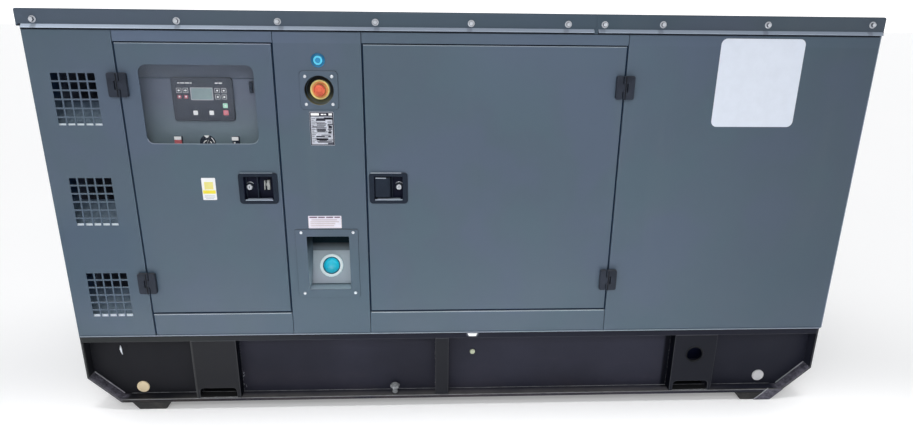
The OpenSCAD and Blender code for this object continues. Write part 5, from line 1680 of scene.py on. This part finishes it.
b = B()
for k in range(4):
    x = 180 + 60 * k
    xe = -10 + 150 * k
    P = [Vector((x, -214, 712)), Vector((x, -214, 760)), Vector((x + (xe - x) * 0.3, -210, 800)), Vector((x + (xe - x) * 0.75, -190, 838)), Vector((xe, -150, 862)), Vector((xe, -118, 858))]
    pts = []
    for i in range(len(P) - 1):
        for j in range(5):
            pts.append(P[i].lerp(P[i + 1], j / 5))
    pts.append(P[-1])
    for _ in range(3):
        pts = [pts[0]] + [(pts[i - 1] + pts[i] * 2 + pts[i + 1]) / 4 for i in range(1, len(pts) - 1)] + [pts[-1]]
    b.tube(pts, 3.2, 8)
    b.hexa((x, -214, 706), (0, 0, 1), 15, 12, 1)
    b.hexa((xe, -122, 858), (0, 1, 0), 15, 12, 1)
piece(b, "injector_pipes", SET, "zinc")
b = B()
b.lathe([(0, 0), (44, 0), (47, 4), (47, 96), (44, 104), (30, 110), (0, 110)], (420, -190, 520), (0, -0.5, -0.86), 36)
for k in range(18):
    a = math.radians(20 * k)
    q = Matrix.Translation(Vector((420, -190, 520))) @ align((0, -0.5, -0.86)) @ Matrix.Rotation(a, 4, "Z")
    b.box((45, -2.2, 62), (48.5, 2.2, 100), 1, 2, 0, q)
piece(b, "oil_filter", SET, "blue")
# pulleys, belt and alternator of the engine
b = B()
for (y, z, r) in ((0, 560, 88), (0, 700, 70), (-135, 640, 38)):
    b.lathe([(0, 0), (r, 0), (r, 4), (r - 7, 9), (r - 7, 13), (r, 18), (r, 22), (r - 16, 22), (r - 22, 12), (24, 12), (24, 26), (0, 26)], (576, y, z), (1, 0, 0), 48)
b.cyl((560, 0, 700), (1, 0, 0), 30, 240, 32, 2)
piece(b, "pulleys", SET, "alternator", "engine_block")


def belt(b, circles, x, w=12, t=5):
    """a closed loop round the pulleys, taut"""
    pts = []
    cen = [Vector((y, z)) for y, z, r in circles]
    n = len(circles)
    order = list(range(n))
    segs = []
    for i in range(n):
        a, c = circles[order[i]], circles[order[(i + 1) % n]]
        d = Vector((c[0] - a[0], c[1] - a[1]))
        L = d.length
        ang = math.atan2(d.y, d.x)
        off = math.acos(max(-1, min(1, (a[2] - c[2]) / L)))
        th = ang - off
        nrmv = Vector((math.cos(th), math.sin(th)))
        segs.append((Vector(a[:2]) + nrmv * a[2], Vector(c[:2]) + nrmv * c[2], th))
    loop = []
    for i in range(n):
        p0, p1, th = segs[i]
        pth = segs[i - 1][2]
        cidx = order[i]
        cy, cz, r = circles[cidx]
        dth = (th - pth) % (2 * math.pi)
        m = max(2, int(dth / 0.18))
        for k in range(m + 1):
            a = pth + dth * k / m
            loop.append((cy + r * math.cos(a), cz + r * math.sin(a), a))
    sect = []
    for (y, z, a) in loop:
        ny, nz = math.cos(a), math.sin(a)
        sect.append([(x, y, z), (x, y + ny * t, z + nz * t), (x + w, y + ny * t, z + nz * t), (x + w, y, z)])
    t2 = bmesh.new()
    R = [[t2.verts.new(p) for p in S] for S in sect]
    for i in range(len(R)):
        a, c = R[i], R[(i + 1) % len(R)]
        for k in range(4):
            t2.faces.new((a[k], a[(k + 1) % 4], c[(k + 1) % 4], c[k]))
    bmesh.ops.recalc_face_normals(t2, faces=t2.faces[:])
    b.add(t2)


b = B()
belt(b, [(0, 560, 82), (0, 700, 64), (-135, 640, 32)], 581)
piece(b, "fan_belt", SET, "dark")

b = B()
for k in range(4):
    x = -10 + 150 * k
    P = [Vector((x, 112, 830)), Vector((x, 150, 836)), Vector((x + 20, 186, 836)), Vector((x + 46, 196, 836))]
    b.tube(P, 24, 16)
    b.box((x - 34, 112, 800), (x + 34, 122, 866), 3, 2)
b.tube([(-30, 200, 836), (60, 200, 836), (300, 200, 836), (500, 200, 836)], 30, 24)
b.tube([(100, 205, 838), (100, 215, 860), (100, 232, 884), (100, 248, 905), (100, 258, 930)], 32, 24)
piece(b, "exhaust_manifold", SET, "silencer")

# ------------------------------------------------------------------ alternator
b = B()
prof = [(0, 0), (186, 0), (200, 6), (212, 20)]
for k in range(18):
    h = 34 + 25 * k
    prof += [(207, h), (215, h + 2), (215, h + 8), (207, h + 10)]
prof += [(212, 480), (215, 486), (215, 490), (0, 490)]
b.lathe(prof, (-620, 0, 560), (1, 0, 0), 72)
b.lathe([(0, 0), (128, 0), (146, 6), (150, 16), (150, 82), (0, 82)], (-700, 0, 560), (1, 0, 0), 56)
for k in range(20):
    a = math.radians(18 * k)
    q = Matrix.Translation(Vector((-703, 0, 560))) @ Matrix.Rotation(a, 4, "X")
    b.box((0, -6, 62), (6, 6, 118), 2, 2, 0, q)
for x in (-560, -280):
    for s in (-1, 1):
        b.box((x, min(s * 130, s * 200), 282), (x + 60, max(s * 130, s * 200), 300), 2, 2)
        b.box((x + 6, min(s * 150, s * 182), 298), (x + 54, max(s * 150, s * 182), 480), 3, 2)
        for dx in (14, 46):
            b.hexa((x + dx, s * 188, 300), (0, 0, 1), 18, 10, 1)
b.box((-520, -150, 760), (-260, 150, 852), 6, 3)
b.box((-526, -156, 850), (-254, 156, 860), 3, 2)
for x in (-512, -268):
    for y in (-142, 0, 142):
        b.hexa((x, y, 860), (0, 0, 1), 12, 5, 0.8)
piece(b, "alternator_v", SET, "alternator", "alternator")

# ------------------------------------------------------------------ radiator and fan
b = B()
b.box((850, -420, 282), (950, 420, 330), 3, 2)
b.box((856, -392, 330), (944, -350, 1150), 6, 3)
b.box((856, 350, 330), (944, 392, 1150), 6, 3)
b.prism([(-300, 1150), (-392, 1140), (-392, 1120), (392, 1120), (392, 1140), (300, 1150), (290, 1196), (-290, 1196)][::-1], "yz", 854, 946, 4, 2)
b.cyl((900, 180, 1192), (0, 0, 1), 26, 8, 32, 2)
b.lathe([(296, 0), (306, 0), (306, 60), (300, 66), (300, 100), (296, 100)], (756, 0, 700), (1, 0, 0), 72, closed=True)
o_, i_ = star(0, 700, -392, 392, 330, 1120, 300, 64)
t = bmesh.new()
R = [[t.verts.new((d, u, v)) for u, v in L] for d, L in ((856, o_), (850, o_), (850, i_), (856, i_))]
for j in range(4):
    A_, C_ = R[j], R[(j + 1) % 4]
    for k in range(len(A_)):
        t.faces.new((A_[k], A_[(k + 1) % len(A_)], C_[(k + 1) % len(A_)], C_[k]))
bmesh.ops.recalc_face_normals(t, faces=t.faces[:])
b.add(t)
piece(b, "radiator_frame", SET, "radiator", "radiator")
b = B()
for k in range(66):
    z = 334 + 12 * k
    b.box((862, -350, z), (938, 350, z + 1.2), 0)
for k in range(23):
    y = -341 + 31 * k
    b.prism([(868, y - 3.5), (872, y - 5), (928, y - 5), (932, y - 3.5), (932, y + 3.5), (928, y + 5), (872, y + 5), (868, y + 3.5)], "xy", 331, 1121)
piece(b, "radiator_core", SET, "castsilver", "radiator")

b = B()
b.lathe([(0, 0), (68, 0), (80, 8), (80, 42), (72, 50), (40, 50), (36, 40), (0, 40)], (740, 0, 700), (1, 0, 0), 48)
for k in range(8):
    q = Matrix.Translation(Vector((765, 0, 700))) @ Matrix.Rotation(math.radians(45 * k), 4, "X")
    loops = []
    for j in range(9):
        u = j / 8
        r = 70 + 226 * u
        tw = math.radians(48 - 26 * u)
        w = 58 + 42 * math.sin(math.pi * (0.25 + 0.6 * u))
        th = 5.0 - 2.6 * u
        sk = 18 * u * u
        L = []
        for i in range(8):
            f = -0.5 + i / 7
            cam_ = (0.25 - f * f) * 26
            L.append((f * w + sk, cam_ + th / 2))
        for i in range(8):
            f = 0.5 - i / 7
            cam_ = (0.25 - f * f) * 26
            L.append((f * w + sk, cam_ - th / 2))
        pts = []
        for (c_, t_) in L:
            y = c_ * math.cos(tw) - t_ * math.sin(tw)
            x = c_ * math.sin(tw) + t_ * math.cos(tw)
            pts.append((x * 0.75, y, r))
        loops.append(pts)
    loft(b, loops, 0, q)
piece(b, "cooling_fan_v", SET, "fan", "cooling_fan")

# ------------------------------------------------------------------ silencer and air cleaner
b = B()
prof = [(0, 0), (60, 0), (92, 6), (106, 16), (110, 26)]
for h in (34, 300, 560, 740):
    prof += [(110, h), (113, h + 2), (113, h + 8), (110, h + 10)]
prof += [(110, 754), (106, 764), (92, 774), (60, 780), (0, 780)]
b.lathe(prof, (-60, 260, 1090), (1, 0, 0), 64)
b.lathe([(0, 0), (34, 0), (34, 12), (37, 16), (34, 20), (37, 24), (34, 28), (37, 32), (34, 36), (37, 40), (34, 44), (34, 110), (0, 110)], (100, 260, 880), (0, 0, 1), 36)
b.lathe([(30, 0), (52, 0), (52, 8), (30, 8)], (100, 260, 962), (0, 0, 1), 40, closed=True)
b.prism(rr(80, 178, 8, 100, 205), "xy", 846, 860, 2)
for x in (20, 600):
    b.box((x, 372, 1066), (x + 40, 438, 1104), 2, 2)
    b.lathe([(110, 0), (113.5, 0), (113.5, 36), (110, 36)], (x + 2, 260, 1090), (1, 0, 0), 64, closed=True)
piece(b, "silencer_v", SET, "silencer", "silencer")

b = B()
prof = [(0, 0), (70, 0), (90, 5), (95, 14)]
for h in (22, 90, 110, 130, 150, 170, 190, 210, 230, 250, 270, 290, 340):
    prof += [(95, h), (92.6, h + 3), (92.6, h + 7), (95, h + 10)]
prof += [(95, 366), (88, 376), (0, 380)]
b.lathe(prof, (-200, -220, 1050), (1, 0, 0), 64)
b.cyl((-200, -220, 1050), (-1, 0, 0), 30, 6, 32, 2)
b.tube([(-60, -220, 962), (-60, -218, 940), (-60, -206, 916), (-60, -186, 900), (-60, -160, 888), (-60, -120, 880)], 42, 28)
piece(b, "air_cleaner_v", SET, "aircleaner", "air_cleaner")
b = B()
for h in (-172, 150):
    b.lathe([(95.2, 0), (96.6, 0), (96.6, 14), (95.2, 14)], (h, -220, 1050), (1, 0, 0), 64, closed=True)
for a0 in (20, 110, 200, 290):
    a = math.radians(a0)
    b.box((-160, -220 + 96 * math.cos(a) - 6, 1050 + 96 * math.sin(a) - 6), (-130, -220 + 96 * math.cos(a) + 6, 1050 + 96 * math.sin(a) + 6), 1.5, 2)
b.box((-140, -230, 898), (20, -222, 952), 2, 2)
piece(b, "air_cleaner_bands", SET, "zinc")


# ------------------------------------------------------------------ acoustic foam in the doors, egg-crate pattern towards the engine
def crate(node, name, body, x0, x1, z0, z1, holes, yb=-497.4, yt=-475.2, step=9.0, pitch=36.0):
    nx, nz = int((x1 - x0) / step), int((z1 - z0) / step)
    sx, sz = (x1 - x0) / nx, (z1 - z0) / nz
    inside = lambda i, j: 0 <= i < nx and 0 <= j < nz and not any(a <= x0 + (i + 0.5) * sx <= c and d <= z0 + (j + 0.5) * sz <= e for a, c, d, e in holes)
    t = bmesh.new()
    vt, vb = {}, {}

    def top(i, j):
        if (i, j) not in vt:
            x, z = x0 + i * sx, z0 + j * sz
            edge = min(i, j, nx - i, nz - j) == 0 or not all(inside(i + a, j + c) for a in (-1, 0) for c in (-1, 0))
            h = 0.0 if edge else 1.6 * (2 - math.cos(2 * math.pi * x / pitch) - math.cos(2 * math.pi * z / pitch))
            vt[(i, j)] = t.verts.new((x, yt - (1.2 if edge else h), z))
        return vt[(i, j)]

    def bot(i, j):
        if (i, j) not in vb:
            vb[(i, j)] = t.verts.new((x0 + i * sx, yb, z0 + j * sz))
        return vb[(i, j)]

    for i in range(nx):
        for j in range(nz):
            if not inside(i, j):
                continue
            t.faces.new((top(i, j), top(i, j + 1), top(i + 1, j + 1), top(i + 1, j)))
            t.faces.new((bot(i, j), bot(i + 1, j), bot(i + 1, j + 1), bot(i, j + 1)))
            for (a, c), (p, q) in (((-1, 0), ((i, j), (i, j + 1))), ((1, 0), ((i + 1, j + 1), (i + 1, j))), ((0, -1), ((i + 1, j), (i, j))), ((0, 1), ((i, j + 1), (i + 1, j + 1)))):
                if not inside(i + a, j + c):
                    t.faces.new((top(*p), top(*q), bot(*q), bot(*p)))
    bmesh.ops.recalc_face_normals(t, faces=t.faces[:])
    b = B()
    b.add(t)
    o = piece(b, name, body, "foam", node, 60)
    return o


crate("control_door_lining", "control_door_foam", CDOOR, -995.5, -558.5, 370.8, 1213.0, [(-960, -594, 907, 1175), (-675, -576, 743, 831)])
crate("engine_door_lining", "engine_door_foam", EDOOR, -288.5, 484.0, 370.8, 1213.0, [(-276, -176, 743, 831)])
o = refine("wall_lining", "foam", rule="all", wide=2.0, seg=2)
refine("vent_baffles", "ventbaffle", rule="all", wide=0.5, seg=1)

# ------------------------------------------------------------------ floor and light
def stage_set():
    bm = bmesh.new()
    s = 60.0
    bmesh.ops.create_grid(bm, x_segments=1, y_segments=1, size=s)
    me = bpy.data.meshes.new("floor")
    bm.to_mesh(me)
    bm.free()
    o = bpy.data.objects.new("floor", me)
    scene.collection.objects.link(o)
    g = G("floor_mat", (0.80, 0.80, 0.80), 0.7, spec=0.1)
    g.color(g.mix(g.noise(0.9, 3, 0.5), (0.79, 0.79, 0.795), (0.82, 0.82, 0.82)))
    g.b.inputs["Emission Color"].default_value = (1.0, 1.0, 1.0, 1.0)
    g.b.inputs["Emission Strength"].default_value = 0.25
    me.materials.append(g.m)
    w = bpy.data.worlds.new("world")
    scene.world = w
    w.use_nodes = True
    t = w.node_tree
    t.nodes.clear()
    out = t.nodes.new("ShaderNodeOutputWorld")
    bg = t.nodes.new("ShaderNodeBackground")
    tc = t.nodes.new("ShaderNodeTexCoord")
    sp = t.nodes.new("ShaderNodeSeparateXYZ")
    rp = t.nodes.new("ShaderNodeValToRGB")
    side = t.nodes.new("ShaderNodeMapRange")
    mx = t.nodes.new("ShaderNodeMix")
    mx.data_type = "RGBA"
    t.links.new(tc.outputs["Generated"], sp.inputs[0])
    t.links.new(sp.outputs["Z"], rp.inputs[0])
    t.links.new(sp.outputs["Y"], side.inputs[0])
    side.inputs["From Min"].default_value = -0.15
    side.inputs["From Max"].default_value = 0.35
    t.links.new(side.outputs[0], mx.inputs[0])
    t.links.new(rp.outputs[0], mx.inputs[6])
    mx.inputs[7].default_value = (1.35, 1.35, 1.35, 1)
    # the right side of the room is darker
    fall = t.nodes.new("ShaderNodeMapRange")
    t.links.new(sp.outputs["X"], fall.inputs[0])
    for k, q in zip(("From Min", "From Max", "To Min", "To Max"), (-0.15, 0.85, 1.0, 0.38)):
        fall.inputs[k].default_value = q
    dim = t.nodes.new("ShaderNodeVectorMath")
    dim.operation = "SCALE"
    t.links.new(rp.outputs[0], dim.inputs[0])
    t.links.new(fall.outputs[0], dim.inputs["Scale"])
    t.links.new(dim.outputs[0], mx.inputs[6])
    t.links.new(mx.outputs[2], bg.inputs["Color"])
    t.links.new(bg.outputs[0], out.inputs["Surface"])
    e = rp.color_ramp.elements
    e[0].position, e[0].color = 0.0, (0.62, 0.62, 0.63, 1)
    e[1].position, e[1].color = 0.7, (0.52, 0.53, 0.555, 1)
    bg.inputs["Strength"].default_value = 1.0

    def area(name, loc, target, size, energy, color=(1, 1, 1)):
        d = bpy.data.lights.new(name, "AREA")
        d.shape = "RECTANGLE"
        d.size, d.size_y = size
        d.energy = energy
        d.color = color
        q = bpy.data.objects.new(name, d)
        scene.collection.objects.link(q)
        q.location = loc
        q.rotation_euler = (Vector(target) - Vector(loc)).to_track_quat("-Z", "Y").to_euler()
        q.visible_camera = False
        return q

    area("floor_bounce", (-0.35, -1.0, 0.03), (-0.3, -0.5, 0.33), (2.0, 0.25), 1.7)
    area("top_soft", (-0.3, -2.75, 2.45), (-0.15, -0.5, 1.05), (1.6, 0.9), 22)
    q = area("floor_pool", (-0.1, -1.05, 3.2), (-0.1, -1.0501, 0), (3.6, 0.4), 11)
    q.data.spread = math.radians(26)
    scene.view_settings.view_transform = "Standard"
    scene.view_settings.look = "None"
    scene.view_settings.exposure = 0.0
    scene.view_settings.gamma = 1.0


stage_set()

# ------------------------------------------------------------------ the end
bpy.context.view_layer.update()
